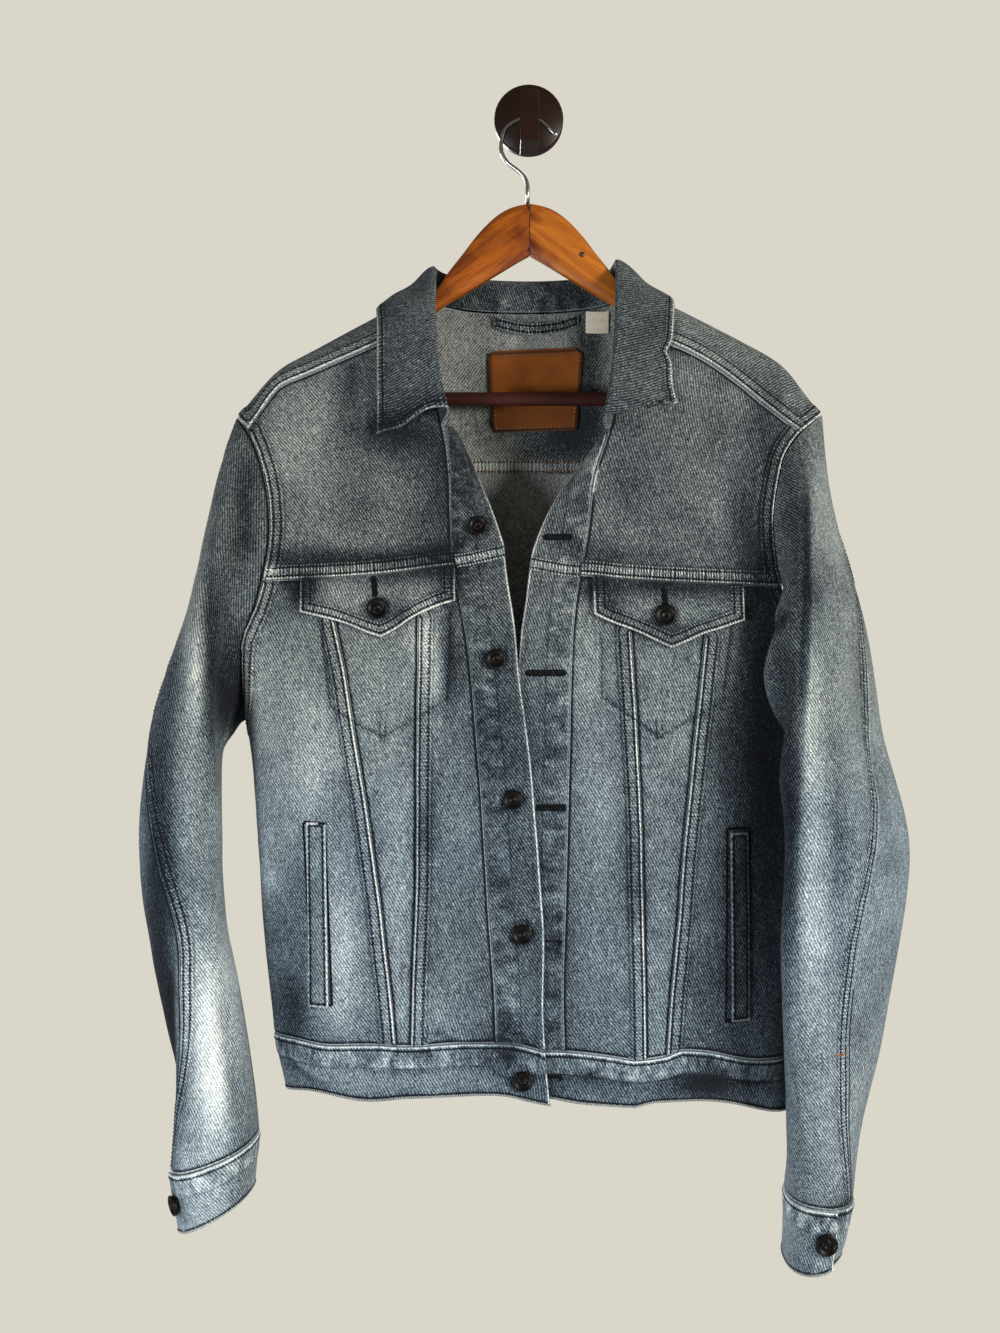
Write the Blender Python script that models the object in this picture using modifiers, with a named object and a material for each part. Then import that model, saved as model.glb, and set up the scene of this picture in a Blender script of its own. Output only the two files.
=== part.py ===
"""A light-wash denim jacket, unbuttoned, on a wooden hanger that hangs from a round wall hook.

World frame: metres, +Z up, +Y into the wall, +X to the right of someone who faces the jacket.
The origin is the centre of the wall plate's flat back. "right" and "left" are the wearer's, so the
right sleeve hangs on the -X side. The sizes and tables are in millimetres.
"""
import math

import bmesh
import bpy
import numpy as np
from mathutils import Vector

MM = 0.001

# Cloth and seams
CLOTH = 1.4                 # denim panel
BAND_RISE = 0.9             # a felled seam stands this much higher than its panel
BAND_WIDTH = 9.0
BAND_STEP = 1.6
PLACKET_CLOTH = 2.2         # three plies
WAISTBAND_CLOTH = 2.4
COLLAR_CLOTH = 2.0
CUFF_CLOTH = 2.2
FLAP_CLOTH = 1.8
WELT_CLOTH = 1.2
SEAM_GAP = 0.4

# Heights
UNDERARM_Z = -500.0
RIDGE_Y = -32.0             # the shoulder ridge, over the hanger
FRONT_ROUND = 75.0          # height over which the front rounds off below the ridge
BACK_ROUND = 42.0
LAP = 4.0                   # the right band lies this much in front of the left one

# Mesh rows and columns
LOW_ROWS = 10               # waist seam to underarm
ARM_ROWS = 5                # underarm to front yoke seam
YOKE_ROWS = 6
BACK_YOKE_ROWS = 6
BACK_ARM_ROWS = 6
BACK_COLUMNS = 16
SHOULDER_COLUMN = 5.5       # least width of a column along the shoulder seam
OVER_REACH = 60.0           # millimetres that one unit over the shoulder counts for

DENIM = (0.36, 0.44, 0.50, 1.0)
DENIM_PALE = (0.42, 0.48, 0.50, 1.0)
DENIM_DEEP = (0.22, 0.29, 0.37, 1.0)
BUTTON_BLACK = (0.02, 0.02, 0.022, 1.0)
WOOD_ORANGE = (0.45, 0.17, 0.04, 1.0)
BAR_MAROON = (0.07, 0.02, 0.02, 1.0)
STEEL = (0.55, 0.55, 0.53, 1.0)
PLATE_BROWN = (0.035, 0.015, 0.012, 1.0)
LEATHER_TAN = (0.45, 0.19, 0.04, 1.0)
SATIN_CREAM = (0.72, 0.68, 0.60, 1.0)

SIDES = {"right": -1, "left": 1}


def columns(names, *rows):
    """A table with named columns and a row for each section, fold or point."""
    values = np.array(rows, dtype=float)
    return {name: values[:, place] for place, name in enumerate(names.split())}


# The body's cross sections: its two sides across, its front and back in depth
BODY = columns(
    "z right left front back",
    (-100, -266, 266, -46, -11),
    (-200, -265, 265, -54, -11),
    (-250, -263, 262, -60, -11),
    (-300, -258, 256, -68, -9),
    (-350, -251, 249, -76, -8),
    (-400, -244, 242, -82, -8),
    (-440, -239, 236, -86, -8),
    (-480, -228, 223, -90, -8.5),
    (-520, -222, 213, -94, -9),
    (-563, -218, 210, -97, -9),
    (-643, -212, 208, -101, -10),
    (-700, -207, 206, -104, -10),
    (-745, -202, 205, -105, -11),
    (-795, -191, 203, -107, -12),
    (-840, -189, 203, -108, -12),
)

# The shoulder ridge over the hanger
RIDGE = columns(
    "x z",
    (-237, -253), (-228, -242.4), (-214, -224.5), (-199, -210.6), (-177, -199.2), (-154, -185.3),
    (-125, -170.2), (-86, -150.0), (0, -148), (82, -150.0), (119, -161.7), (130, -167.4), (160, -182.9),
    (194.5, -201.6), (207.5, -211.4), (219, -226.9), (231, -243.2), (238, -250.6),
)

# Each front's seams, as the place across at each height
FRONT_SEAMS = {
    "right": {
        "placket": columns(
            "z x",
            (-264, -70), (-279, -64), (-326, -63.5), (-377, -60), (-420, -51.5), (-457, -46), (-509, -41.6),
            (-550, -37.7), (-609, -34), (-658, -31), (-691, -28), (-725, -26.3), (-760, -26),
        ),
        "edge": columns(
            "z x",
            (-264, -64), (-279, -59), (-291, -54), (-298, -46), (-310, -42), (-320, -36), (-330, -29.5),
            (-337, -26.5), (-349, -26), (-361, -20.5), (-371, -20), (-391, -18), (-414, -14), (-444, -10.4),
            (-468, -8.8), (-492, -5.8), (-514, -2.7), (-541, 0.3), (-566, 1.9), (-591, 4.9), (-624, 7.2),
            (-657, 9.5), (-690, 10.2), (-715, 10.0), (-728, 7.4), (-743, 9.5), (-760, 11.5),
        ),
        "inner": columns(
            "z x",
            (-370, -85), (-420, -86.5), (-520, -87.8), (-596, -87.6), (-665, -89), (-710, -91), (-760, -92),
        ),
        "outer": columns(
            "z x",
            (-370, -166), (-427, -152), (-462, -143.6), (-504, -137), (-551, -128.6), (-612, -119),
            (-669, -112), (-741, -104), (-760, -103),
        ),
    },
    "left": {
        "placket": columns(
            "z x",
            (-272, 62), (-291, 53), (-310, 48.5), (-341, 46.2), (-357, 43.5), (-383, 38.5), (-400, 35),
            (-430, 32.2), (-461, 30.6), (-500, 29.4), (-560, 27.5), (-641, 25), (-708, 22.8), (-760, 24.5),
        ),
        "edge": columns(
            "z x",
            (-272, 58), (-286, 50), (-294, 45), (-302, 37.5), (-310, 30.5), (-319, 23), (-329, 17),
            (-337, 12.7), (-349, 7.3), (-359, 3.4), (-371, 0), (-383, -1.5), (-411, -5.2),
            (-429, -8.4), (-445, -9.1), (-500, -10.5), (-560, -12), (-641, -14.5), (-708, -17), (-760, -17),
        ),
        "inner": columns(
            "z x",
            (-370, 74), (-430, 77), (-500, 80.6), (-576, 84.5), (-658, 85.2), (-708, 86.4), (-760, 87.2),
        ),
        "outer": columns(
            "z x",
            (-370, 143), (-435, 135), (-500, 127), (-593, 117.5), (-659, 111), (-709, 106), (-760, 103),
        ),
    },
}

# Where the front and the back armhole seams cross each height
ARMHOLES = {
    "right": {
        "front": columns(
            "z x",
            (-253, -237), (-261, -230), (-267, -224.5), (-277, -219), (-291, -213.7), (-313, -208),
            (-331, -205), (-355, -204.2), (-379, -208), (-395, -210.8), (-411, -216), (-428, -226),
        ),
        "back": columns(
            "z x", (-253, -237), (-275, -224), (-310, -214), (-350, -209), (-400, -211), (-428, -218),
        ),
    },
    "left": {
        "front": columns(
            "z x",
            (-251, 238), (-261, 225.5), (-269, 215.5), (-284, 201), (-304, 197.5), (-327, 192),
            (-347, 190.5), (-371, 192), (-393, 196), (-411, 203), (-428, 215),
        ),
        "back": columns(
            "z x", (-251, 238), (-275, 222), (-310, 212), (-350, 207), (-400, 209), (-428, 216),
        ),
    },
}

# Seams that run across
YOKE_SEAM = {
    "right": columns(
        "x z", (-240, -389), (-163, -386.7), (-120, -384.4), (-77, -379), (-60, -377), (-10, -370),
    ),
    "left": columns("x z", (-20, -382), (47, -385), (64, -387), (104, -389.8), (167, -392), (240, -394)),
}
WAIST_SEAM = {
    "right": columns(
        "x z", (-203, -744.5), (-180, -743.5), (-155, -748), (-127, -744), (-100, -745.5), (-60, -743),
        (-39, -741), (-16, -741.5), (12, -748.5),
    ),
    "left": columns(
        "x z", (-18, -748.5), (12, -748.5), (40, -748), (57, -753), (78, -755.5), (103, -753), (118, -747.5),
        (134, -749), (152, -756), (175, -759.5), (206, -761),
    ),
}
HEM = {
    "right": columns(
        "x z", (-192, -788), (-171, -782.5), (-155, -783.8), (-137, -788), (-117, -787.3), (-100, -784.4),
        (-60, -783), (-35, -780.5), (-20, -780.5), (-8, -784), (11.5, -788),
    ),
    "left": columns(
        "x z", (-18, -783), (12, -783), (30, -787), (57, -789.8), (73, -792), (95, -788), (130, -788),
        (158, -792), (177, -798.5), (203, -804),
    ),
}
BACK_YOKE_SEAM_Z = -292.0

SHOULDER_SEAM = {
    "right": columns(
        "x z", (-224.5, -267), (-216, -254.4), (-207.5, -238.5), (-199, -230.5), (-183, -223.6),
        (-159, -213.5), (-135, -203.5), (-86, -180),
    ),
    "left": columns(
        "x z", (82, -183), (117, -199.5), (130, -205), (151, -218), (167, -231), (188, -248.5),
        (205, -261.5), (215.5, -269),
    ),
}
NECK_FRONT = {
    "right": columns("z x", (-264, -70), (-235, -76), (-205, -82), (-180, -86)),
    "left": columns("z x", (-272, 62), (-240, 69), (-205, 78), (-183, 82)),
}
NECK_BACK = columns("x z", (-86, -151.5), (-76, -158), (-57, -161.5), (-25, -164), (5, -164), (42, -162),
                    (69, -158), (82, -151.5))

# Soft folds of the fronts, each a ridge (height above 0) or a valley along a line
FRONT_FOLDS = {
    "right": columns(
        "x0 z0 x1 z1 width height",
        (-58, -395, -36, -640, 9, -2.6), (-72, -470, -60, -720, 15, 2.6), (-100, -540, -99, -720, 12, -1.6),
        (-176, -440, -188, -600, 17, 2.6), (-204, -398, -178, -470, 12, -2.4),
        (-128, -300, -150, -365, 24, 2.0), (-100, -330, -88, -372, 14, -2.0),
        (-158, -690, -168, -742, 12, 2.4), (-62, -690, -54, -740, 11, -2.2),
        (-196, -560, -190, -720, 14, -2.4),
    ),
    "left": columns(
        "x0 z0 x1 z1 width height",
        (40, -400, 40, -560, 9, 2.4), (54, -440, 52, -640, 13, -2.2), (60, -620, 62, -740, 14, 2.6),
        (40, -690, 46, -742, 9, -2.0), (150, -420, 162, -560, 16, 2.2), (178, -400, 196, -470, 13, -2.6),
        (110, -300, 120, -370, 22, 2.0), (150, -310, 158, -350, 16, -2.4), (120, -700, 120, -745, 10, 2.2),
        (180, -590, 178, -730, 14, -2.2),
    ),
}
BACK_FOLDS = columns(
    "x0 z0 x1 z1 width height",
    (-120, -400, -80, -720, 26, 2.0), (-20, -480, -10, -740, 24, -1.6), (90, -420, 70, -730, 26, 2.0),
    (160, -520, 150, -740, 18, -1.6), (-170, -560, -160, -740, 18, 1.8),
)

# How far each band's free edge rolls back towards the wall, near the neck
PLACKET_ROLL = {
    "right": columns(
        "z depth", (-264, 24), (-291, 22), (-300, 16), (-320, 8), (-337, 2), (-350, 0), (-760, 0),
    ),
    "left": columns(
        "z depth", (-272, 26), (-294, 25), (-310, 16), (-329, 9), (-349, 3), (-365, 0), (-760, 0),
    ),
}


def slopes_of(keys, values):
    """Slopes at a table's rows that keep a smooth reading from overshooting any row."""
    steps = np.diff(keys)
    rises = np.diff(values) / steps
    slopes = np.zeros(len(keys))
    slopes[0] = rises[0]
    slopes[-1] = rises[-1]
    for i in range(1, len(keys) - 1):
        if rises[i - 1] * rises[i] > 0:
            near = 2 * steps[i] + steps[i - 1]
            far = steps[i] + 2 * steps[i - 1]
            slopes[i] = (near + far) / (near / rises[i - 1] + far / rises[i])
    return slopes


def read(table, column, at, key="z"):
    """A smooth reading of one column of a table, between its rows."""
    order = np.argsort(table[key])
    keys = table[key][order]
    values = table[column][order]
    slopes = slopes_of(keys, values)
    at = np.clip(at, keys[0], keys[-1])
    cell = np.clip(np.searchsorted(keys, at) - 1, 0, len(keys) - 2)
    span = keys[cell + 1] - keys[cell]
    part = (at - keys[cell]) / span
    start = (2 * part ** 3 - 3 * part ** 2 + 1) * values[cell]
    finish = (3 * part ** 2 - 2 * part ** 3) * values[cell + 1]
    leave = (part ** 3 - 2 * part ** 2 + part) * span * slopes[cell]
    arrive = (part ** 3 - part ** 2) * span * slopes[cell + 1]
    return start + finish + leave + arrive


def smooth(start, finish, at):
    """0 before start, 1 after finish, and a soft step between them."""
    part = np.clip((at - start) / (finish - start), 0.0, 1.0)
    return part * part * (3.0 - 2.0 * part)


def mix(first, last, part):
    """A straight blend of two points or arrays of points."""
    return first + (last - first) * part


# ---------------------------------------------------------------- the hanging cloth's middle surface

CORNER = 2.8                # squareness of the body's cross section


def half_section():
    """A quarter of the cross section, and its share of the way round: 0 at the centre, 0.5 at the side."""
    turn = np.linspace(0.0, math.pi / 2, 401)
    across = np.sin(turn) ** (2 / CORNER)
    deep = np.cos(turn) ** (2 / CORNER)
    step = np.hypot(np.diff(across) * 210, np.diff(deep) * 48)
    reach = np.concatenate(([0.0], np.cumsum(step)))
    return across, deep, 0.5 * reach / reach[-1], 0.5 / reach[-1]


ACROSS, DEEP, REACH, SHARE_PER_MM = half_section()


def body_width(z):
    """Centre and half width of the body at a height."""
    right = read(BODY, "right", z)
    left = read(BODY, "left", z)
    return (left + right) / 2, (left - right) / 2


def body_x(share, z):
    """Place across of a share of the way round: 0 centre front, 0.5 side, 1 centre back."""
    folded = 0.5 - np.abs(0.5 - np.abs(share))
    centre, half = body_width(z)
    return centre + np.sign(share) * half * np.interp(folded, REACH, ACROSS)


def share_of(x, z, back=False):
    """Share of the way round at which the body's front (or back) lies at x."""
    centre, half = body_width(z)
    across = (x - centre) / half
    reach = np.interp(np.abs(across), ACROSS, REACH)
    return np.sign(across) * (1.0 - reach if back else reach)


def folds(table, x, z):
    """Height of the soft folds at a place: each is a rounded ridge that fades out at its ends."""
    height = np.zeros(np.broadcast(x, z).shape)
    names = ("x0", "z0", "x1", "z1", "width", "height")
    for x0, z0, x1, z1, width, rise in zip(*(table[name] for name in names)):
        length = math.hypot(x1 - x0, z1 - z0)
        along = ((x - x0) * (x1 - x0) + (z - z0) * (z1 - z0)) / length
        beside = ((x - x0) * (z1 - z0) - (z - z0) * (x1 - x0)) / length
        fade = smooth(-width, width, along) * smooth(-width, width, length - along)
        height = height + rise * fade * np.exp(-(beside / width) ** 2)
    return height


def round_over(below, height):
    """Share of the full depth at a distance below the shoulder ridge."""
    part = np.clip(1.0 - below / height, 0.0, 1.0)
    return (1.0 - part ** 2.2) ** (1 / 2.2)


def cloth_depth(x, z, deep, on_front, side):
    """Depth of the cloth: the rounded cross section, drawn in to the ridge, with its folds."""
    front = read(BODY, "front", z)
    back = read(BODY, "back", z)
    middle = (front + back) / 2
    depth = middle + np.where(on_front, front - middle, back - middle) * deep
    below = read(RIDGE, "z", x, key="x") - z
    depth = RIDGE_Y + (depth - RIDGE_Y) * round_over(below, np.where(on_front, FRONT_ROUND, BACK_ROUND))
    flat = smooth(0.25, 0.7, deep)
    lap = LAP * smooth(-60, -30, x) * smooth(385, 430, -z) if side == "right" else 0.0
    relief = folds(FRONT_FOLDS[side], x, z) + lap if side else 0.0
    return depth + flat * np.where(on_front, -relief, folds(BACK_FOLDS, x, z))


def body_point(share, z, side=None):
    """A point of the body's cloth, from its share of the way round and its height."""
    share, z = np.broadcast_arrays(np.asarray(share, float), np.asarray(z, float))
    folded = 0.5 - np.abs(0.5 - np.abs(share))
    x = body_x(share, z)
    on_front = np.abs(share) < 0.5
    return np.stack((x, cloth_depth(x, z, np.interp(folded, REACH, DEEP), on_front, side), z), axis=-1)


def shoulder_point(x, over, side=None):
    """A point of the back yoke: over is 0 on the ridge, -1 at the back yoke seam, above 0 on the front."""
    x, over = np.broadcast_arrays(np.asarray(x, float), np.asarray(over, float))
    ridge = read(RIDGE, "z", x, key="x")
    z = ridge - (ridge - BACK_YOKE_SEAM_Z) * over ** 2
    on_front = over > 0
    centre, half = body_width(z)
    across = np.clip(np.abs((x - centre) / half), 0, 1)
    deep = (1 - across ** CORNER) ** (1 / CORNER)
    return np.stack((x, cloth_depth(x, z, deep, on_front, side), z), axis=-1)


def over_of(x, z, on_front):
    """How far over the shoulder a height lies, as shoulder_point reads it."""
    ridge = read(RIDGE, "z", x, key="x")
    over = np.sqrt(np.clip((ridge - z) / (ridge - BACK_YOKE_SEAM_Z), 0, None))
    return over if on_front else -over


def outward(surface, first, second, first_step, second_step, turn=1):
    """Unit normals of a surface, out of the garment."""
    along = surface(first + first_step, second) - surface(first - first_step, second)
    up = surface(first, second + second_step) - surface(first, second - second_step)
    normal = np.cross(along, up) * turn
    return normal / np.linalg.norm(normal, axis=-1, keepdims=True)


def body_normal(share, z, side=None):
    return outward(lambda a, b: body_point(a, b, side), share, z, 0.004, 1.5)


def shoulder_normal(x, over):
    return outward(shoulder_point, x, over, 1.5, 0.03, turn=-1)


def grid_normal(grid):
    """Unit normals of a grid of points from its own rows and columns."""
    normal = np.cross(np.gradient(grid, axis=1), np.gradient(grid, axis=0))
    return normal / np.linalg.norm(normal, axis=-1, keepdims=True)


# ---------------------------------------------------------------- closed walls and Blender objects

def material(name, colour, roughness=0.85, metallic=0.0):
    """A Principled material, made once for each name."""
    finish = bpy.data.materials.get(name)
    if finish is None:
        finish = bpy.data.materials.new(name)
        finish.use_nodes = True
        shader = finish.node_tree.nodes["Principled BSDF"]
        shader.inputs["Base Color"].default_value = colour
        shader.inputs["Roughness"].default_value = roughness
        shader.inputs["Metallic"].default_value = metallic
    return finish


def link(thing, finish):
    """Give an object its material and place it in the jacket's collection."""
    thing.data.materials.clear()
    thing.data.materials.append(finish)
    for holder in list(thing.users_collection):
        holder.objects.unlink(thing)
    bpy.data.collections["denim_jacket"].objects.link(thing)
    return thing


def solid(name, points, faces, finish, sharp=math.radians(40)):
    """An object from closed faces, turned outwards and shaded smooth."""
    mesh = bpy.data.meshes.new(name)
    mesh.from_pydata([tuple(point) for point in np.asarray(points) * MM], [], faces)
    shape = bmesh.new()
    shape.from_mesh(mesh)
    bmesh.ops.recalc_face_normals(shape, faces=shape.faces)
    shape.to_mesh(mesh)
    shape.free()
    mesh.shade_smooth()
    mesh.set_sharp_from_angle(angle=sharp)
    thing = bpy.data.objects.new(name, mesh)
    bpy.context.scene.collection.objects.link(thing)
    return link(thing, finish)


def draw_in(grid, bottom=0.5, top=0.5, start=0.5, end=0.5):
    """Pull the edges of a grid in along the cloth, each by its share of a seam gap."""
    grid = grid.copy()

    def pull(edge, next_in, share):
        way = next_in - edge
        return edge + way / np.linalg.norm(way, axis=-1, keepdims=True) * SEAM_GAP * share

    grid[0] = pull(grid[0], grid[1], bottom)
    grid[-1] = pull(grid[-1], grid[-2], top)
    grid[:, 0] = pull(grid[:, 0], grid[:, 1], start)
    grid[:, -1] = pull(grid[:, -1], grid[:, -2], end)
    return grid


def wall(name, grid, normal, outside, inside, finish):
    """A closed wall of cloth: one face lies outside the middle grid, the other inside it."""
    rows, cols = grid.shape[:2]
    outside = np.broadcast_to(np.asarray(outside, float), (rows, cols))[..., None]
    inside = np.broadcast_to(np.asarray(inside, float), (rows, cols))[..., None]
    outer = (grid + normal * outside).reshape(-1, 3)
    inner = (grid - normal * inside).reshape(-1, 3)
    points = np.concatenate((outer, inner))
    count = rows * cols
    faces = []
    for i in range(rows - 1):
        for j in range(cols - 1):
            a = i * cols + j
            faces.append((a, a + 1, a + cols + 1, a + cols))
            faces.append((count + a, count + a + cols, count + a + cols + 1, count + a + 1))
    rim = [(0, j) for j in range(cols)] + [(i, cols - 1) for i in range(1, rows)]
    rim += [(rows - 1, j) for j in range(cols - 2, -1, -1)] + [(i, 0) for i in range(rows - 2, 0, -1)]
    rim = [i * cols + j for i, j in rim]
    for a, b in zip(rim, rim[1:] + rim[:1]):
        faces.append((b, a, count + a, count + b))
    return solid(name, points, faces, finish)


# ---------------------------------------------------------------- fronts, back and waistband

def waist_z(x, side):
    if side:
        return read(WAIST_SEAM[side], "z", x, key="x")
    return np.interp(x, (-203, 206), (WAIST_SEAM["right"]["z"][0], WAIST_SEAM["left"]["z"][-1]))


def hem_z(x, side):
    if side:
        return read(HEM[side], "z", x, key="x")
    return np.interp(x, (-192, 203), (HEM["right"]["z"][0], HEM["left"]["z"][-1]))


def row_z(row, x, side):
    """Height of a row: 0 at the waist seam, 1 at the underarm, 2 at the yoke seam."""
    low = waist_z(x, side)
    high = read(YOKE_SEAM[side], "z", x, key="x") if side else BACK_YOKE_SEAM_Z
    return np.where(row <= 1, mix(low, UNDERARM_Z, row), mix(UNDERARM_Z, high, row - 1))


def settle_z(row, share, side):
    """Heights of the points of a row at given shares of the way round."""
    z = row_z(row, 0.0, side) + 0.0 * share
    for _ in range(6):
        z = row_z(row, body_x(share, z), side)
    return z


def seam_share(row, table, side, offset=0.0):
    """Share of the way round of a front seam at each row."""
    z = row_z(row, 0.0, side)
    for _ in range(6):
        x = read(table, "x", z) + offset
        z = row_z(row, x, side)
    return share_of(x, z)


def armhole_share(z, side, face):
    """Share of the way round of the armhole seam: across by its table, then down round the side."""
    table = ARMHOLES[side][face]
    level = table["z"].min()
    back = face == "back"
    upper = np.abs(share_of(read(table, "x", np.maximum(z, level)), np.maximum(z, level), back))
    start = np.abs(share_of(read(table, "x", level), level, back))
    part = np.clip((z - UNDERARM_Z) / (level - UNDERARM_Z), 0, 1)
    lower = 0.5 - (0.5 - start) * part ** 0.6
    return SIDES[side] * np.where(z >= level, upper, lower)


def side_share(row, side, face="front"):
    """Share of the way round of the side seam, and of the armhole above it."""
    rows_side = side if face == "front" else None
    share = np.full(row.shape, 0.5 * SIDES[side])
    for _ in range(8):
        z = settle_z(row, share, rows_side)
        share = np.where(row > 1, armhole_share(z, side, face), 0.5 * SIDES[side])
    return share


def between(first, last, parts):
    """Columns between two edges of a panel, at given parts of the way."""
    return first[:, None] + (last - first)[:, None] * np.asarray(parts)[None, :]


LOWER_ROWS = np.concatenate((np.linspace(0, 1, LOW_ROWS + 1), np.linspace(1, 2, ARM_ROWS + 1)[1:]))


def lower_front(side):
    """The lower front's columns, panel by panel, as shares of the way round, with their seam bands."""
    seams = FRONT_SEAMS[side]
    out = SIDES[side]

    def at(name, offset=0.0):
        return seam_share(LOWER_ROWS, seams[name], side, offset)

    edge, placket, inner, outer = (at(name) for name in ("edge", "placket", "inner", "outer"))
    inner_band = at("inner", -out * BAND_WIDTH)
    inner_step = at("inner", -out * (BAND_WIDTH + BAND_STEP))
    outer_band = at("outer", out * BAND_WIDTH)
    outer_step = at("outer", out * (BAND_WIDTH + BAND_STEP))
    side_seam = side_share(LOWER_ROWS, side)
    arm_band = side_seam - out * BAND_WIDTH * SHARE_PER_MM
    arm_step = arm_band - out * BAND_STEP * SHARE_PER_MM
    return {
        "placket": between(edge, placket, (0, 0.35, 0.7, 1)),
        "centre_front": np.column_stack(
            (placket, mix(placket, inner_step, 0.5), inner_step, inner_band, inner)
        ),
        "wedge_front": between(inner, outer, (0, 0.34, 0.67, 1)),
        "side_front": np.column_stack(
            (outer, outer_band, outer_step, between(outer_step, arm_step, (0.24, 0.48, 0.7, 0.87, 1)),
             arm_band, side_seam)
        ),
    }


def band_rise(shape, raised):
    """Outside half thickness of a panel whose raised columns carry a felled seam."""
    rise = np.full(shape, CLOTH / 2)
    rise[:, raised] = CLOTH / 2 + BAND_RISE
    return rise


def front_panels(side, shares):
    """The three lower panels of one front: centre, wedge and side."""
    finish = material("denim", DENIM)
    raised = {"centre_front": [3, 4], "wedge_front": [], "side_front": [0, 1]}
    for name, bands in raised.items():
        share = shares[name]
        z = settle_z(LOWER_ROWS[:, None], share, side)
        grid = draw_in(body_point(share, z, side))
        normal = body_normal(share, z, side)
        rise = band_rise(share.shape, bands)
        if name == "side_front":
            rise[LOW_ROWS:, -2:] = CLOTH / 2 + BAND_RISE
        wall(f"{name}_{side}", grid, normal, rise, CLOTH / 2, finish)


def yoke_rows(side):
    """Parts of the way up the front yoke: its seam band, then even rows."""
    height = 115.0 if side == "right" else 110.0
    band = BAND_WIDTH / height
    step = (BAND_WIDTH + BAND_STEP) / height
    return np.concatenate(((0, band, step), np.linspace(step, 1, YOKE_ROWS + 1)[1:]))


def yoke_inner_edge(side):
    """The front yoke's inner edge: up the placket seam, then along the neck to the shoulder seam."""
    part = yoke_rows(side)
    seam = FRONT_SEAMS[side]["placket"]
    neck = NECK_FRONT[side]
    foot = float(seam_share(np.array([2.0]), seam, side)[0])
    low = float(settle_z(np.array([2.0]), np.array([foot]), side)[0])
    turn = neck["z"].min()
    turn_part = 0.58
    z = np.where(part < turn_part, mix(low, turn, part / turn_part),
                 mix(turn, neck["z"].max(), (part - turn_part) / (1 - turn_part)))
    corner = np.argmin(np.abs(part - turn_part))
    z[corner] = turn
    x = np.where(z <= turn, read(seam, "x", z), read(neck, "x", z))
    return np.column_stack((share_of(x, z), z)), corner


def coons(bottom, top, start, end, up_part, across_part):
    """A grid of places between four edges that meet at their corners, at given parts of the way."""
    rows = up_part[:, None, None]
    cols = across_part[None, :, None]
    across = bottom[None] * (1 - rows) + top[None] * rows
    up = start[:, None] * (1 - cols) + end[:, None] * cols
    corners = ((bottom[0] * (1 - rows) + top[0] * rows) * (1 - cols)
               + (bottom[-1] * (1 - rows) + top[-1] * rows) * cols)
    return across + up - corners


def spaced(bottom):
    """Parts of the way along an edge, by the distances between its points."""
    step = np.linalg.norm(np.diff(bottom, axis=0), axis=1)
    return np.concatenate(([0.0], np.cumsum(step))) / step.sum()


def shoulder_columns(x):
    """The front yoke's columns that the back yoke shares along the shoulder seam: not too narrow."""
    keep = [0]
    for column in range(1, len(x) - 1):
        if abs(x[column] - x[keep[-1]]) > SHOULDER_COLUMN:
            keep.append(column)
    if abs(x[keep[-1]] - x[-1]) < SHOULDER_COLUMN / 2:
        keep.pop()
    return keep + [len(x) - 1]


def front_yoke(side, shares):
    """The front yoke, from the chest seam up to the seam in front of the shoulder ridge."""
    panels = ("centre_front", "wedge_front", "side_front")
    across = np.concatenate([shares[name][-1][:-1] for name in panels])
    across = np.append(across, shares["side_front"][-1][-1])
    bottom = np.column_stack((across, settle_z(np.full(across.shape, 2.0), across, side)))
    inner, corner = yoke_inner_edge(side)
    seam = SHOULDER_SEAM[side]
    tip = seam["z"].min()
    part = yoke_rows(side)
    arm_z = mix(bottom[-1, 1], tip, part)
    arm = np.column_stack((armhole_share(arm_z, side, "front"), arm_z))
    arm[0] = bottom[-1]
    along = spaced(body_point(bottom[:, 0], bottom[:, 1], side))
    top_x = mix(body_x(inner[-1, 0], inner[-1, 1]), body_x(arm[-1, 0], arm[-1, 1]), along)
    keep = shoulder_columns(top_x)
    top_z = np.interp(along, along[keep], read(seam, "z", top_x[keep], key="x"))
    top = np.column_stack((share_of(top_x, top_z), top_z))
    top[0] = inner[-1]
    top[-1] = arm[-1]
    rows = len(part)
    domain = coons(bottom, top, inner, arm, part, along)
    share, z = domain[..., 0], domain[..., 1]
    grid = body_point(share, z, side)
    normal = body_normal(share, z, side)
    outside = band_rise((rows, len(along)), slice(-2, None))
    outside[:2] = CLOTH / 2 + BAND_RISE
    wall(f"front_yoke_{side}", draw_in(grid), normal, outside, CLOTH / 2, material("denim_pale", DENIM_PALE))
    return {"inner": inner, "corner": corner, "arm": grid[:, -1], "arm_normal": normal[:, -1],
            "top": np.column_stack((top_x[keep], top_z[keep]))}


def placket_grid(side, yoke, shares):
    """Middle points of a button band, from the waist seam up to the neck, its top rolled back."""
    lower = shares["placket"]
    lower_z = settle_z(LOWER_ROWS[:, None], lower, side)
    seam = yoke["inner"][1:yoke["corner"] + 1]
    edge_x = read(FRONT_SEAMS[side]["edge"], "x", seam[:, 1])
    edge = share_of(edge_x, seam[:, 1])
    upper = between(edge, seam[:, 0], (0, 0.35, 0.7, 1))
    upper_z = np.broadcast_to(seam[:, 1][:, None], upper.shape)
    share = np.vstack((lower, upper))
    z = np.vstack((lower_z, upper_z))
    grid = body_point(share, z, side)
    free = np.array((1, 0.65, 0.3, 0)) ** 1.6
    depth = read(PLACKET_ROLL[side], "depth", z)
    grid[..., 1] += depth * free[None, :]
    grid[..., 0] -= SIDES[side] * PLACKET_CLOTH * 0.6 * smooth(4, 20, depth)
    return grid


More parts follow.
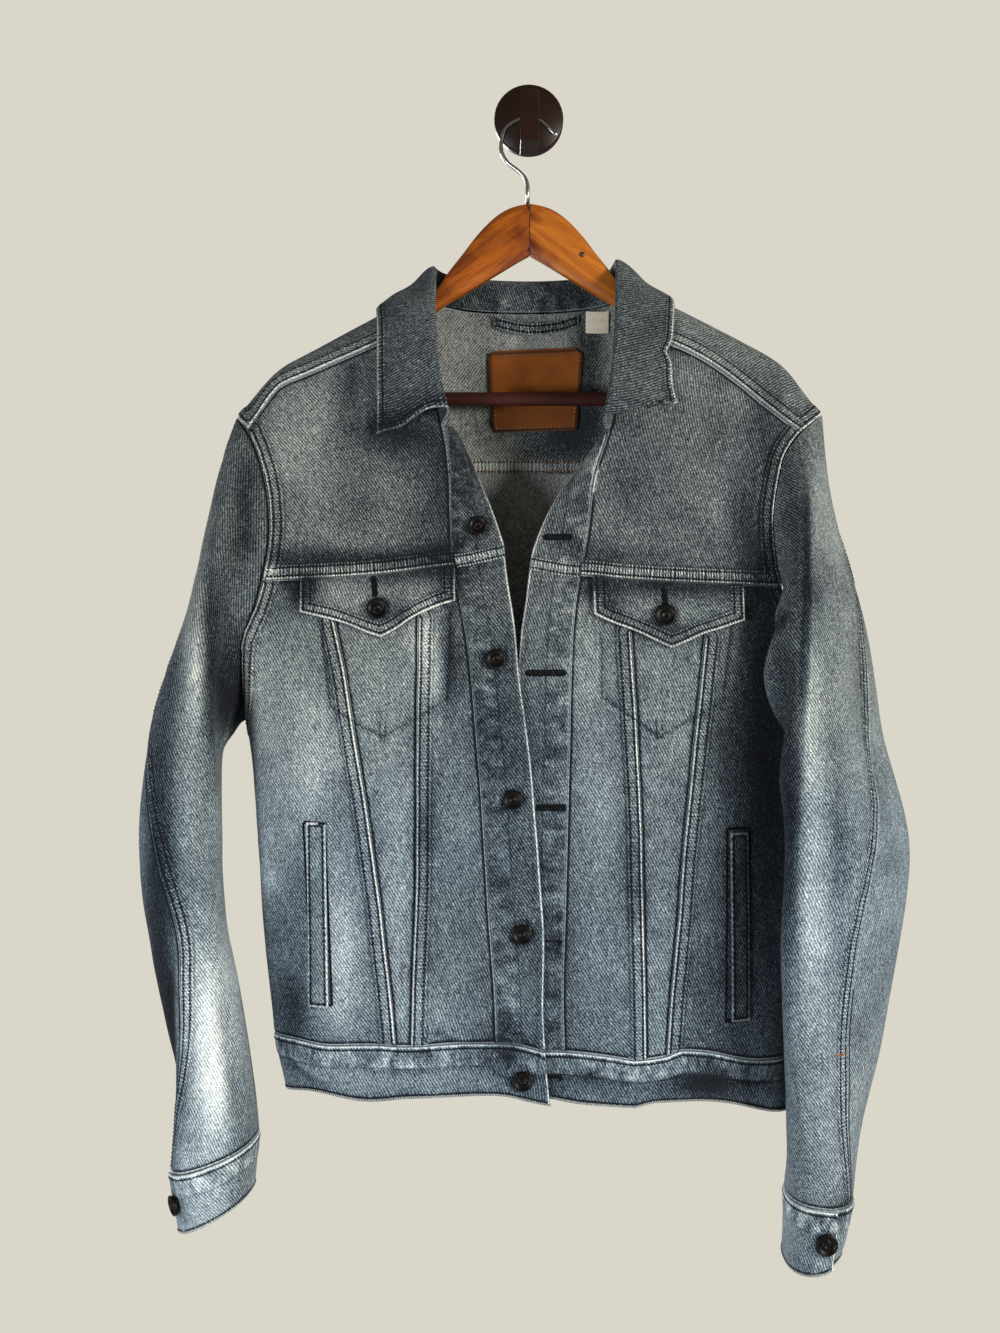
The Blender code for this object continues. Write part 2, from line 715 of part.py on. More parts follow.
def placket(side, yoke, shares):
    """One button band: three plies of denim along the front's edge."""
    grid = placket_grid(side, yoke, shares)
    normal = grid_normal(grid)
    normal *= -np.sign(normal[0, 0, 1])
    wall(f"placket_{side}", draw_in(grid, start=0), normal, PLACKET_CLOTH / 2, PLACKET_CLOTH / 2,
         material("denim_deep", DENIM_DEEP))


BACK_ROWS = np.concatenate((np.linspace(0, 1, LOW_ROWS + 1), np.linspace(1, 2, BACK_ARM_ROWS + 1)[1:]))


def back_panel():
    """The back below its yoke, with both armholes' back halves."""
    left = side_share(BACK_ROWS, "left", "back")
    right = side_share(BACK_ROWS, "right", "back")
    part = np.linspace(0, 1, BACK_COLUMNS + 1)
    turn = left[:, None] + ((2 + right) - left)[:, None] * part[None, :]
    share = np.where(turn > 1, turn - 2, turn)
    z = settle_z(BACK_ROWS[:, None], share, None)
    grid = body_point(share, z)
    normal = body_normal(share, z)
    wall("back_panel", draw_in(grid), normal, CLOTH / 2, CLOTH / 2, material("denim", DENIM))
    return {"left": grid[:, 0], "left_normal": normal[:, 0], "right": grid[:, -1],
            "right_normal": normal[:, -1], "shares": share}


def neck_edge():
    """The neck's edge on the back yoke: over both shoulders and along the back neck."""
    over_front = {}
    for side, end in (("right", -1), ("left", 0)):
        seam = SHOULDER_SEAM[side]
        over_front[side] = float(over_of(seam["x"][end], seam["z"][end], True))
    back_x = np.linspace(NECK_BACK["x"][0] + 7, NECK_BACK["x"][-1] - 7, 9)
    back_over = over_of(back_x, read(NECK_BACK, "z", back_x, key="x"), False)
    right_x = NECK_BACK["x"][0]
    left_x = NECK_BACK["x"][-1]
    edge = [(right_x, over_front["right"]), (right_x, 0.55 * over_front["right"]), (right_x + 0.4, 0.1),
            (right_x + 2.0, -0.06)]
    edge += list(zip(back_x, back_over))
    edge += [(left_x - 2.0, -0.06), (left_x - 0.4, 0.1), (left_x, 0.55 * over_front["left"]),
             (left_x, over_front["left"])]
    return np.array(edge)


def shoulder_edge(side, yoke):
    """The back yoke's edge along the front shoulder seam, from the armhole to the neck."""
    seam = yoke["top"][::-1] if side == "right" else yoke["top"]
    over = over_of(seam[:, 0], seam[:, 1], True)
    return np.column_stack((seam[:, 0], over))


def armhole_over(side, tip_over):
    """The back yoke's armhole edge, from the back yoke seam over the ridge to the shoulder seam."""
    past_ridge = tip_over * np.array((0.4, 0.70, 0.76, 1.0))
    over = np.concatenate((np.linspace(-1, 0, BACK_YOKE_ROWS + 1), past_ridge))
    table = {True: ARMHOLES[side]["front"], False: ARMHOLES[side]["back"]}
    x = np.full(over.shape, ARMHOLES[side]["back"]["x"][0])
    for _ in range(12):
        ridge = read(RIDGE, "z", x, key="x")
        z = ridge - (ridge - BACK_YOKE_SEAM_Z) * over ** 2
        x = np.where(over > 0, read(table[True], "x", z), read(table[False], "x", z)) * 0.6 + x * 0.4
    return np.column_stack((x, over))


def back_yoke(yokes):
    """The back yoke: from its seam on the back, over the ridge, down to both shoulder seams."""
    right_top = shoulder_edge("right", yokes["right"])
    left_top = shoulder_edge("left", yokes["left"])
    neck = neck_edge()
    top = np.vstack((right_top[:-1], neck, left_top[1:]))
    start = armhole_over("right", right_top[0, 1])
    end = armhole_over("left", left_top[-1, 1])
    top[0] = start[-1]
    top[-1] = end[-1]
    across_part = spaced(top * (1.0, OVER_REACH))
    bottom = np.column_stack((mix(start[0, 0], end[0, 0], across_part), np.full(len(top), -1.0)))
    up_part = (start[:, 1] + 1) / (start[-1, 1] + 1)
    domain = coons(bottom, top, start, end, up_part, across_part)
    grid = shoulder_point(domain[..., 0], domain[..., 1])
    normal = shoulder_normal(domain[..., 0], domain[..., 1])
    first = len(right_top) - 1
    outside = np.full(grid.shape[:2], CLOTH / 2)
    outside[-2:, :first] = CLOTH / 2 + BAND_RISE
    outside[-2:, first + len(neck):] = CLOTH / 2 + BAND_RISE
    wall("back_yoke", draw_in(grid, top=0.9), normal, outside, CLOTH / 2, material("denim_pale", DENIM_PALE))
    return {"right": grid[:, 0], "right_normal": normal[:, 0], "left": grid[:, -1],
            "left_normal": normal[:, -1], "neck": grid[-1, first:first + len(neck)]}


def waistband(lower, back):
    """The waistband: one doubled strip from the right front's edge round the back to the left one's."""
    order = ("placket", "centre_front", "wedge_front", "side_front")
    right = np.concatenate([lower["right"][name][0][:-1] for name in order])
    left = np.concatenate([lower["left"][name][0][:-1] for name in order])
    middle = np.where(back["shares"][0] > 1, back["shares"][0] - 2, back["shares"][0])[::-1]
    grids = []
    normals = []
    for share, side in ((right, "right"), (middle, None), (left[::-1], "left")):
        top = waist_z(body_x(share, -745.0), side)
        bottom = hem_z(body_x(share, -785.0), side)
        z = top[None] + (bottom - top)[None] * np.array((1, 0.66, 0.33, 0))[:, None]
        share = np.broadcast_to(share, z.shape)
        grids.append(body_point(share, z, side))
        normals.append(body_normal(share, z, side))
    grid = np.concatenate(grids, axis=1)
    normal = np.concatenate(normals, axis=1)
    wall("waistband", draw_in(grid, bottom=0, start=0, end=0, top=0.9), normal, WAISTBAND_CLOTH / 2,
         WAISTBAND_CLOTH / 2, material("denim_deep", DENIM_DEEP))


# ---------------------------------------------------------------- collar

# Its roll line and its edge, round the neck; edge_over is how far the edge lies over the shoulder
COLLAR = columns(
    "share roll_x roll_y roll_z edge_x edge_over",
    (0.00, -64.8, -76, -250, -121, 0.92),
    (0.07, -71, -75, -230, -121, 0.82),
    (0.14, -74.2, -70, -203, -121.5, 0.66),
    (0.20, -75.5, -59, -168, -121.8, 0.40),
    (0.26, -77, -34, -129.5, -122.5, 0.0),
    (0.32, -68, -17, -131, -116, -0.34),
    (0.40, -42, -12.5, -134, -76, -0.52),
    (0.50, 2, -12, -135.5, 2, -0.555),
    (0.60, 46, -12.5, -133, 78, -0.525),
    (0.68, 66, -17, -128, 110, -0.35),
    (0.74, 70, -34, -123, 116, 0.0),
    (0.80, 68, -59, -160, 115, 0.40),
    (0.86, 66, -70, -200, 112, 0.62),
    (0.93, 62, -75, -232, 112.5, 0.735),
    (1.00, 56.5, -76, -262, 117, 0.82),
)
COLLAR_LIFT = 4.2           # the fall lies this far off the shoulders
COLLAR_START = 1.3          # the stand starts this far from the neck edge


def neck_loop(yokes, back):
    """The whole neck edge, from the right front round the back to the left front."""
    loop = []
    for side in ("right", "left"):
        edge = yokes[side]["inner"][yokes[side]["corner"]:]
        points = body_point(edge[:, 0], edge[:, 1], side)
        loop.append(points if side == "right" else points[::-1])
    return np.vstack((loop[0][:-1], back["neck"], loop[1][1:]))


def shoulder_depth(x, z, on_front):
    """Depth of the shoulder cloth under a place of the collar."""
    centre, half = body_width(z)
    across = np.clip(np.abs((x - centre) / half), 0, 1)
    deep = (1 - across ** CORNER) ** (1 / CORNER)
    return cloth_depth(x, z, deep, on_front, None)


def collar(yokes, back):
    """The collar: a stand up from the neck seam, a soft roll, and a fall over the shoulders."""
    loop = neck_loop(yokes, back)
    doubled = np.empty((2 * len(loop) - 1, 3))
    doubled[::2] = loop
    doubled[1::2] = (loop[1:] + loop[:-1]) / 2
    share = spaced(doubled)

    def at(name):
        return read(COLLAR, name, share, key="share")

    roll = np.column_stack((at("roll_x"), at("roll_y"), at("roll_z")))
    edge_x, edge_over = at("edge_x"), at("edge_over")
    edge = shoulder_point(edge_x, edge_over) + shoulder_normal(edge_x, edge_over) * COLLAR_LIFT
    rise = roll - (doubled + edge) / 2
    rise /= np.linalg.norm(rise, axis=1, keepdims=True)
    apart = doubled - edge
    apart -= (apart * rise).sum(axis=1, keepdims=True) * rise
    apart /= np.linalg.norm(apart, axis=1, keepdims=True)
    stand_way = roll - doubled
    foot = doubled + stand_way / np.linalg.norm(stand_way, axis=1, keepdims=True) * COLLAR_START
    grid = np.stack((
        foot,
        mix(foot, roll, 0.5) + apart * 1.0,
        mix(roll, foot, 0.16) + apart * 2.6,
        roll,
        mix(roll, edge, 0.08) - apart * 2.8,
        mix(roll, edge, 0.5) - apart * 3.0,
        edge,
    ), axis=1)
    normal = grid_normal(grid)
    wall("collar", grid, normal, COLLAR_CLOTH / 2, COLLAR_CLOTH / 2, material("denim_deep", DENIM_DEEP))


# ---------------------------------------------------------------- sleeves and cuffs

# Each sleeve's rings: outer and inner silhouette, depth, the front's lean towards the body, and the
# turn of the two seams (0 inner side, 90 front, 180 outer side, 270 back)
SLEEVES = {
    "right": columns(
        "out_x out_z in_x in_z front back lean under_seam back_seam",
        (-237, -253, -237, -500, -62, -9, 0, 0, 222),
        (-247, -285, -239, -506, -72, -10, 4, 2, 216),
        (-255.5, -318, -241, -511, -82, -11, 6, 2, 210),
        (-262, -356, -243, -516, -90, -12, 8, 0, 204),
        (-268, -394, -245, -522, -96, -13, 8, -4, 198),
        (-278, -430, -245.5, -530, -101, -14, 8, -10, 190),
        (-288, -462, -245, -542, -105, -15, 8, -20, 180),
        (-298, -497, -244.5, -556, -109, -16, 8, -32, 166),
        (-305, -534, -243.5, -573, -112, -17, 8, -46, 146),
        (-309, -574, -242.5, -594, -115, -18, 8, -58, 122),
        (-309, -608, -241.5, -618, -118, -20, 8, -66, 106),
        (-305.5, -640, -239.5, -644, -119, -22, 8, -72, 96),
        (-302, -664, -237, -668, -118, -24, 8, -74, 92),
        (-297, -694, -231.5, -694, -114, -25, 6, -70, 97),
        (-290.5, -726, -226, -722, -110, -25, 6, -64, 108),
        (-284, -757, -222.5, -750, -108, -25, 4, -58, 124),
        (-280, -785, -219.5, -776, -108, -26, 4, -52, 140),
        (-280, -812, -216.5, -800, -110, -28, 2, -48, 152),
        (-279.5, -846, -214.5, -823, -112, -32, 0, -46, 160),
    ),
    "left": columns(
        "out_x out_z in_x in_z front back lean under_seam back_seam",
        (238, -251, 238, -500, -70, -9, 0, 0, 228),
        (236.5, -287, 234, -508, -90, -9, 18, 2, 220),
        (237, -322, 230, -514, -104, -10, 25, 2, 210),
        (242.5, -356, 226, -520, -112, -12, 31, -2, 200),
        (251.5, -392, 220, -526, -118, -14, 35, -8, 190),
        (259, -428, 213.5, -534, -122, -18, 37, -14, 188),
        (265, -460, 207, -546, -126, -22, 38, -18, 185),
        (274, -497, 199.5, -560, -129, -27, 39, -22, 181),
        (289, -532, 195, -575, -131, -31, 39, -28, 171),
        (301.5, -568, 192, -595, -132, -34, 39, -34, 157),
        (306.5, -600, 190, -617, -133, -36, 39, -42, 143),
        (304.5, -632, 188.5, -639, -133, -37, 39, -50, 135),
        (299.5, -663, 187.5, -665, -132, -38, 38, -54, 132),
        (293, -700, 188, -693, -131, -39, 36, -56, 131),
        (286, -735, 189.5, -725, -129, -40, 32, -56, 131),
        (279, -770, 191, -759, -127, -42, 28, -52, 135),
        (266, -803, 193, -793, -124, -44, 22, -48, 142),
        (258, -834, 195, -827, -122, -46, 14, -46, 145),
        (251, -866, 195.5, -859, -120, -48, 6, -44, 148),
    ),
}
SLEEVE_CORNER = 2.3
SECTION_REACH = SLEEVE_CORNER / (SLEEVE_CORNER - 1)
HEAD = (0.0, 0.42, 0.75, 0.93, 1.0)       # how soon the sleeve leaves the armhole's shape for its own rings
RELAX = 5.0                               # ring by which the stations are evenly spread
UNDERARM_STEP = 1.6
UNDERARM_REACH = 7.0
TURNED_BACK = (0.75, -0.4)                # cosines between the body's and the sleeve's cloth

# Folds of each sleeve, from a place (ring, turn) to a place: a ridge or a valley along the surface's
# normal, and how far it also leans over towards the body
SLEEVE_FOLDS = {
    "right": columns(
        "ring0 turn0 ring1 turn1 width height inward",
        (0.6, 105, 3.2, 60, 17, -8, 0), (1.0, 150, 6, 75, 18, 4, 0), (1.6, 40, 5, 28, 18, -7, 0),
        (4.5, 60, 8, 35, 15, 4, 0), (5, 150, 11, 150, 16, 3, 0), (8, 60, 12, 100, 14, -3.5, 0),
        (9, 100, 13, 60, 12, -3, 0), (12, 40, 15, 80, 12, 3, 0), (14, 60, 17, 110, 12, -3, 0),
        (9, 106, 14, 98, 14, 2.5, 0), (9.5, 132, 15, 122, 14, -3.5, 0), (10, 250, 15, 240, 32, -3, 0),
        (4, 262, 9, 272, 34, -2.5, 0),
    ),
    "left": columns(
        "ring0 turn0 ring1 turn1 width height inward",
        (0.6, 138, 3, 98, 22, 4, 0), (3.0, 98, 8, 55, 22, 3, 0), (0.8, 104, 2.6, 84, 20, -5, 0),
        (1.6, 74, 2.8, 54, 25, 0, 46), (7, 75, 12, 70, 18, -3, 0), (8, 120, 13, 130, 14, 3, 0),
        (11, 50, 15, 70, 12, 3, 0), (13, 100, 16, 60, 12, -3, 0), (14, 130, 17, 110, 10, -2.5, 0),
        (10, 240, 15, 240, 32, -3, 0), (4, 262, 9, 272, 34, -2.5, 0),
    ),
}


def section_turn(turn):
    """Inward and forward parts of a place on the sleeve's rounded section."""
    turn = np.radians(turn)
    inner = np.sign(np.cos(turn)) * np.abs(np.cos(turn)) ** (2 / SLEEVE_CORNER)
    front = np.sign(np.sin(turn)) * np.abs(np.sin(turn)) ** (2 / SLEEVE_CORNER)
    return inner, front


def sleeve_section(side, ring, turn):
    """A point of a sleeve from its ring (a row of the table, in between too) and its turn in degrees."""
    table = dict(SLEEVES[side])
    table["ring"] = np.arange(len(table["out_x"]), dtype=float)
    value = {name: read(table, name, ring, key="ring") for name in table if name != "ring"}
    half_x = (value["out_x"] - value["in_x"]) / 2
    half_z = (value["out_z"] - value["in_z"]) / 2
    tilt = value["lean"] * np.abs(half_x) / (half_x ** 2 + half_z ** 2)
    keep = np.maximum(1 - tilt ** SECTION_REACH, 0.2) ** (1 / SECTION_REACH)
    inner, front = section_turn(turn)
    x = (value["out_x"] + value["in_x"]) / 2 - keep * inner * half_x - SIDES[side] * value["lean"] * front
    z = (value["out_z"] + value["in_z"]) / 2 - keep * inner * half_z
    y = (value["front"] + value["back"]) / 2 + (value["front"] - value["back"]) / 2 * front
    return np.stack((x, y, z), axis=-1)


def sleeve_folds(side, ring, turn):
    """Height of a sleeve's folds, and their lean towards the body, at a ring and a turn."""
    table = SLEEVE_FOLDS[side]
    height = np.zeros(np.broadcast(ring, turn).shape)
    inward = np.zeros(height.shape)
    names = ("ring0", "turn0", "ring1", "turn1", "width", "height", "inward")
    for ring0, turn0, ring1, turn1, width, rise, lean in zip(*(table[name] for name in names)):
        part = np.clip((ring - ring0) / (ring1 - ring0), 0, 1)
        fade = smooth(ring0 - 1.0, ring0 + 1.0, ring) * smooth(-1.0, 1.0, ring1 + 0.3 - ring)
        away = (turn - mix(turn0, turn1, part) + 180) % 360 - 180
        shape = fade * np.exp(-(away / width) ** 2)
        height = height + rise * shape
        inward = inward + lean * shape
    return height, inward


def armhole_loop(side, shares, yoke, back, back_yoke_edges):
    """The armhole's edge and normals: underarm, up the front, over the ridge, down the back."""
    front = shares["side_front"][LOW_ROWS:, -1]
    front_z = settle_z(LOWER_ROWS[LOW_ROWS:], front, side)
    past_step = np.append(1, np.arange(3, len(yoke["arm"])))
    over = np.delete(np.arange(len(back_yoke_edges[side])), -3)[::-1][1:]
    parts = (
        (body_point(front, front_z, side), body_normal(front, front_z, side)),
        (yoke["arm"][past_step], yoke["arm_normal"][past_step]),
        (back_yoke_edges[side][over], back_yoke_edges[side + "_normal"][over]),
        (back[side][LOW_ROWS:][::-1][1:], back[side + "_normal"][LOW_ROWS:][::-1][1:]),
    )
    points = np.vstack([part[0] for part in parts])
    normals = np.vstack([part[1] for part in parts])
    back_seam = sum(len(part[0]) for part in parts[:3]) - 1
    return points[:-1], normals[:-1], back_seam


def station_turns(side, points, back_seam):
    """The turn of each station on each ring: by height at the armhole, evenly spread further down."""
    table = SLEEVES[side]
    rings = np.arange(len(table["out_x"]))
    middle = (table["out_z"][0] + table["in_z"][0]) / 2
    half = (table["out_z"][0] - table["in_z"][0]) / 2
    level = np.clip((middle - points[:, 2]) / half, -1, 1)
    first = np.degrees(np.arccos(np.sign(level) * np.abs(level) ** (SLEEVE_CORNER / 2)))
    ridge = int(np.argmax(points[:, 2]))
    first[ridge + 1:] = 360 - first[ridge + 1:]
    part = spaced(np.vstack((points, points[:1])))
    front_part = part[:back_seam + 1] / part[back_seam]
    rest = (part[back_seam:-1] - part[back_seam]) / (1 - part[back_seam])
    turns = np.empty((len(rings), len(points)))
    for ring in rings:
        even = np.empty(len(points))
        even[:back_seam + 1] = mix(table["under_seam"][ring], table["back_seam"][ring], front_part)
        even[back_seam:] = mix(table["back_seam"][ring], table["under_seam"][ring] + 360, rest)
        turns[ring] = mix(first, even, smooth(0, RELAX, float(ring)))
    return turns


def ring_normal(grid):
    """Outward normals of a grid of closed rings."""
    wrapped = np.concatenate((grid[:, -1:], grid, grid[:, :1]), axis=1)
    normal = grid_normal(wrapped)[:, 1:-1]
    centre = grid.mean(axis=1, keepdims=True)
    return normal * np.sign((normal * (grid - centre)).sum())


def edge_way(side, points, normals):
    """Directions out of the body's cloth across the armhole's edge."""
    way = np.cross(normals, np.roll(points, -1, axis=0) - np.roll(points, 1, axis=0))
    way /= np.linalg.norm(way, axis=1, keepdims=True)
    top = int(np.argmax(points[:, 2]))
    return way * np.sign(way[top, 0] * SIDES[side])


def sleeve_grid(side, loop, back_seam):
    """The sleeve's whole middle surface: rings down, stations round from the underarm by the front."""
    points, normals = loop
    turn = station_turns(side, points, back_seam)
    rings = np.arange(len(turn), dtype=float)[:, None]
    grid = sleeve_section(side, rings, turn)
    for ring, share in enumerate(HEAD):
        grid[ring] = mix(points, grid[ring], share)
    # At the underarm the sleeve turns back beside the body, so there it starts above the body's edge
    way = edge_way(side, points, normals)
    back = smooth(*TURNED_BACK, (normals * ring_normal(grid)[1]).sum(axis=1))[:, None]
    grid[0] = points + way * (SEAM_GAP / 2 + UNDERARM_STEP * back)
    grid[1] = mix(grid[1], points + normals * UNDERARM_REACH + way * UNDERARM_STEP, back)
    relief, inward = sleeve_folds(side, rings, turn)
    fade = np.ones((len(turn), 1))
    fade[[0, 1, -1], 0] = (0.0, 0.3, 0.0)
    normal = ring_normal(grid)
    grid = grid + normal * (relief * fade)[..., None]
    grid[..., 0] -= SIDES[side] * inward * fade
    normal = ring_normal(grid)
    beside = np.roll(normal, 1, axis=1) + np.roll(normal, -1, axis=1)
    normal[1:-1] += (normal[:-2] + normal[2:] + beside[1:-1]) / 4
    normal[0] = normals * (1 - back) - way * back
    normal[1] += 0.5 * normals * (1 - back) - way * back
    normal /= np.linalg.norm(normal, axis=-1, keepdims=True)
    return grid, normal


def sleeve(side, loop, back_seam):
    """Top sleeve and under sleeve, sewn at the underarm and along the back of the arm."""
    grid, normal = sleeve_grid(side, loop, back_seam)
    halves = {
        "top_sleeve": np.arange(0, back_seam + 1),
        "under_sleeve": np.append(np.arange(back_seam, grid.shape[1]), 0),
    }
    for name, stations in halves.items():
        tucked = draw_in(grid[:, stations], bottom=0.9, start=0.9, end=0.9)
        wall(f"{name}_{side}", tucked, normal[:, stations], CLOTH / 2, CLOTH / 2, material("denim", DENIM))


# Each cuff: its lower edge's outer and inner ends and depth, and where its buttoned lap starts and how
# far it runs over, in degrees round the arm
CUFFS = {
    "right": {"out": (-271.5, -893), "in": (-217.5, -864), "depth": (-108, -40), "lap": (128, 30)},
    "left": {"out": (238, -906), "in": (196, -915), "depth": (-122, -50), "lap": (76, 34)},
}
CUFF_STATIONS = 24
CUFF_ROWS = 4
CUFF_PROUD = 1.7            # each end's step out or in where the cuff laps over itself


def cuff(side):
    """One cuff: a doubled strip round the sleeve's end, its buttoned lap outside the other end."""
    size = CUFFS[side]
    table = SLEEVES[side]
    part = np.linspace(0, 1, CUFF_STATIONS + 1)
    start, lap = size["lap"]
    turn = start + part * (360 + lap)
    top = sleeve_section(side, np.full(turn.shape, len(table["out_x"]) - 1.0), turn)
    centre_top = top.mean(axis=0)
    out = np.array((size["out"][0], 0, size["out"][1]))
    into = np.array((size["in"][0], 0, size["in"][1]))
    inner, front = section_turn(turn)
    low = (out + into)[None] / 2 - inner[:, None] * (out - into)[None] / 2
    low[:, 1] = mix(size["depth"][1], size["depth"][0], (1 + front) / 2)
    step = CUFF_PROUD * (smooth(0.72, 0.9, part) - (1 - smooth(0.04, 0.18, part)))
    rows = []
    for height in np.linspace(0, 1, CUFF_ROWS):
        ring = mix(low, top, height)
        away = ring - mix(low.mean(axis=0), centre_top, height)
        away[:, 2] = 0
        away /= np.linalg.norm(away, axis=1, keepdims=True)
        rows.append(ring + away * step[:, None])
    grid = np.array(rows)
    normal = grid_normal(grid)
    if (normal * (grid - grid.mean(axis=(0, 1)))).sum() < 0:
        normal = -normal
    wall(f"cuff_{side}", draw_in(grid, bottom=0, start=0, end=0, top=1.6), normal, CUFF_CLOTH / 2,
         CUFF_CLOTH / 2, material("denim_deep", DENIM_DEEP))
    return grid, normal


# ---------------------------------------------------------------- what lies on the panels

# Lower edge of each pocket flap from its inner to its outer corner
FLAPS = {
    "right": columns(
        "x z", (-59, -405), (-78, -411), (-90, -419), (-100, -426), (-109, -430.5), (-116, -433.6),
        (-128, -430.5), (-140, -426), (-153, -420), (-169, -416.5), (-179.5, -413.5),
    ),
    "left": columns(
        "x z", (48, -415.5), (56, -420), (77, -427.5), (95, -436), (108.5, -442), (120, -438), (134, -433),
        (150, -426), (165.5, -420.5),
    ),
}
FLAP_COLUMNS = 10
WELTS = {
    "right": {"top": (-165.5, -576), "bottom": (-162.5, -717), "width": 15},
    "left": {"top": (160, -584), "bottom": (160, -728), "width": 14},
}


def laid_on(name, side, x, z, rest, thick, finish):
    """A piece that lies on the front: its points are the front's own, moved out."""
    share = share_of(x, z)
    wall(name, body_point(share, z, side), body_normal(share, z, side), rest + thick, -rest, finish)


def flap(side):
    """A chest pocket's flap: sewn in under the yoke's edge, pointed at its middle."""
    table = FLAPS[side]
    x = np.linspace(table["x"][0], table["x"][-1], FLAP_COLUMNS + 1)
    point = table["x"][np.argmin(table["z"])]
    x[np.argmin(np.abs(x - point))] = point
    order = np.argsort(table["x"])
    low = np.interp(x, table["x"][order], table["z"][order])
    high = read(YOKE_SEAM[side], "z", x, key="x") - SEAM_GAP
    part = np.array((0, 0.2, 0.45, 0.72, 1))
    z = low[None] + (high - low)[None] * part[:, None]
    x = np.broadcast_to(x, z.shape)
    rest = CLOTH / 2 + BAND_RISE + SEAM_GAP
    laid_on(f"pocket_flap_{side}", side, x, z, rest, FLAP_CLOTH, material("denim_deep", DENIM_DEEP))


def welt(side):
    """The welt of a hand pocket: a narrow strip down the side front."""
    size = WELTS[side]
    part = np.linspace(0, 1, 9)[:, None]
    across = np.linspace(-0.5, 0.5, 3)[None, :] * size["width"]
    x = mix(size["bottom"][0], size["top"][0], part) + across
    z = mix(size["bottom"][1], size["top"][1], part) + 0 * across
    laid_on(f"pocket_welt_{side}", side, x, z, CLOTH / 2 + 2 * SEAM_GAP, WELT_CLOTH,
            material("denim_deep", DENIM_DEEP))


# Tack buttons: place across, height and what they sit on
BUTTON_RADIUS = 8.0
FRONT_BUTTONS = columns("x z", (-41, -346), (-27, -450), (-14, -557.5), (-7, -659), (-6.5, -769))
FLAP_BUTTONS = {"right": (-118.5, -411.5), "left": (104, -416.5)}
BUTTON_SIDES = 12


def button(name, point, normal, base):
    """A tack button: a low turned cap with a raised rim, standing on the cloth."""
    radius = BUTTON_RADIUS
    profile = (
        (0.0, 2.0), (radius * 0.66, 2.0), (radius * 0.8, 2.8), (radius, 2.0), (radius * 0.82, 0.2),
        (0.0, 0.2),
    )
    edges = [(i, i + 1) for i in range(len(profile) - 1)]
    mesh = bpy.data.meshes.new(name)
    mesh.from_pydata([(x * MM, 0, z * MM) for x, z in profile], edges, [])
    thing = bpy.data.objects.new(name, mesh)
    bpy.context.scene.collection.objects.link(thing)
    turn = thing.modifiers.new("turn", "SCREW")
    turn.steps = BUTTON_SIDES
    turn.render_steps = BUTTON_SIDES
    turn.use_merge_vertices = True
    turn.merge_threshold = 0.00001
    thing.location = Vector((point + normal * base) * MM)
    thing.rotation_mode = "QUATERNION"
    thing.rotation_quaternion = Vector(normal).to_track_quat("Z", "Y")
    link(thing, material("black_metal", BUTTON_BLACK, 0.45, 0.8))


def buttons(cuffs):
    """The buttons of the right band, the flaps and the cuffs."""
    for number, (x, z) in enumerate(zip(FRONT_BUTTONS["x"], FRONT_BUTTONS["z"]), start=1):
        share = share_of(x, z)
        base = PLACKET_CLOTH / 2 + 0.5
        point = body_point(share, z, "right")
        button(f"front_button_{number}", point, body_normal(share, z, "right"), base)
    for side, (x, z) in FLAP_BUTTONS.items():
        share = share_of(x, z)
        base = CLOTH / 2 + BAND_RISE + SEAM_GAP + FLAP_CLOTH + 0.6
        button(f"flap_button_{side}", body_point(share, z, side), body_normal(share, z, side), base)
    for side, (grid, normal) in cuffs.items():
        station = CUFF_STATIONS - 1
        point = (grid[1, station] + grid[2, station]) / 2
        button(f"cuff_button_{side}", point, normal[1, station], CUFF_CLOTH / 2 + 0.6)


def neck_patch():
    """The leather patch inside the back yoke."""
    across = np.linspace(0, 1, 6)[None, :]
    up = np.linspace(0, 1, 5)[:, None]
    low = mix(np.array((-30.7, -262.0)), np.array((40.0, -259.5)), across[..., None])
    high = mix(np.array((-34.0, -194.5)), np.array((45.0, -191.2)), across[..., None])
    place = mix(low, high, up[..., None])
    x, z = place[..., 0], place[..., 1]
    share = share_of(x, z, back=True)
    wall("neck_patch", body_point(share, z), body_normal(share, z), -(CLOTH / 2 + 1.5 * SEAM_GAP),
         CLOTH / 2 + 1.5 * SEAM_GAP + 1.4, material("tan_leather", LEATHER_TAN, 0.6))


def hanging_strip(name, ends, height, sag, stand_off, thick, count, finish):
    """A short strip sewn at both ends inside the back neck and sagging between them."""
    part = np.linspace(0, 1, count)
    bow = 4 * part * (1 - part)
    x = mix(ends[0][0], ends[1][0], part)
    top = mix(ends[0][1], ends[1][1], part) - sag * bow
    up = np.linspace(0, 1, 3)[:, None]
    z = top[None] - height * (1 - up)
    x = np.broadcast_to(x, z.shape)
    y = shoulder_depth(x, z, False) - (CLOTH + thick) / 2 - 2 * SEAM_GAP - stand_off * bow
    grid = np.stack((x, y, z), axis=-1)
    normal = np.zeros(grid.shape)
    normal[..., 1] = -1
    wall(name, grid, normal, thick / 2, thick / 2, finish)


# ---------------------------------------------------------------- hanger and wall hook

HANGER_Y = -32.0
ARM_THICK = 14.0
JOINT_X = 0.0
ARM = columns(
    "x top bottom",
    (0.3, -79.6, -121.4), (12, -81.2, -128), (25, -87.0, -136), (40, -101.5, -145), (53, -118.5, -153),
    (65, -133.0, -160), (74, -147.0, -166), (82, -157.0, -171), (104, -168.0, -183.5), (125, -177.5, -195.5),
    (154, -192.0, -212), (176, -206.0, -225), (184.6, -211.0, -230), (185.2, -211.5, -247),
    (199, -219.5, -249), (212, -232.5, -246),
)
ARM_CORNERS = 12
BAR_RADIUS = 5.5
BAR_Z = -238.0


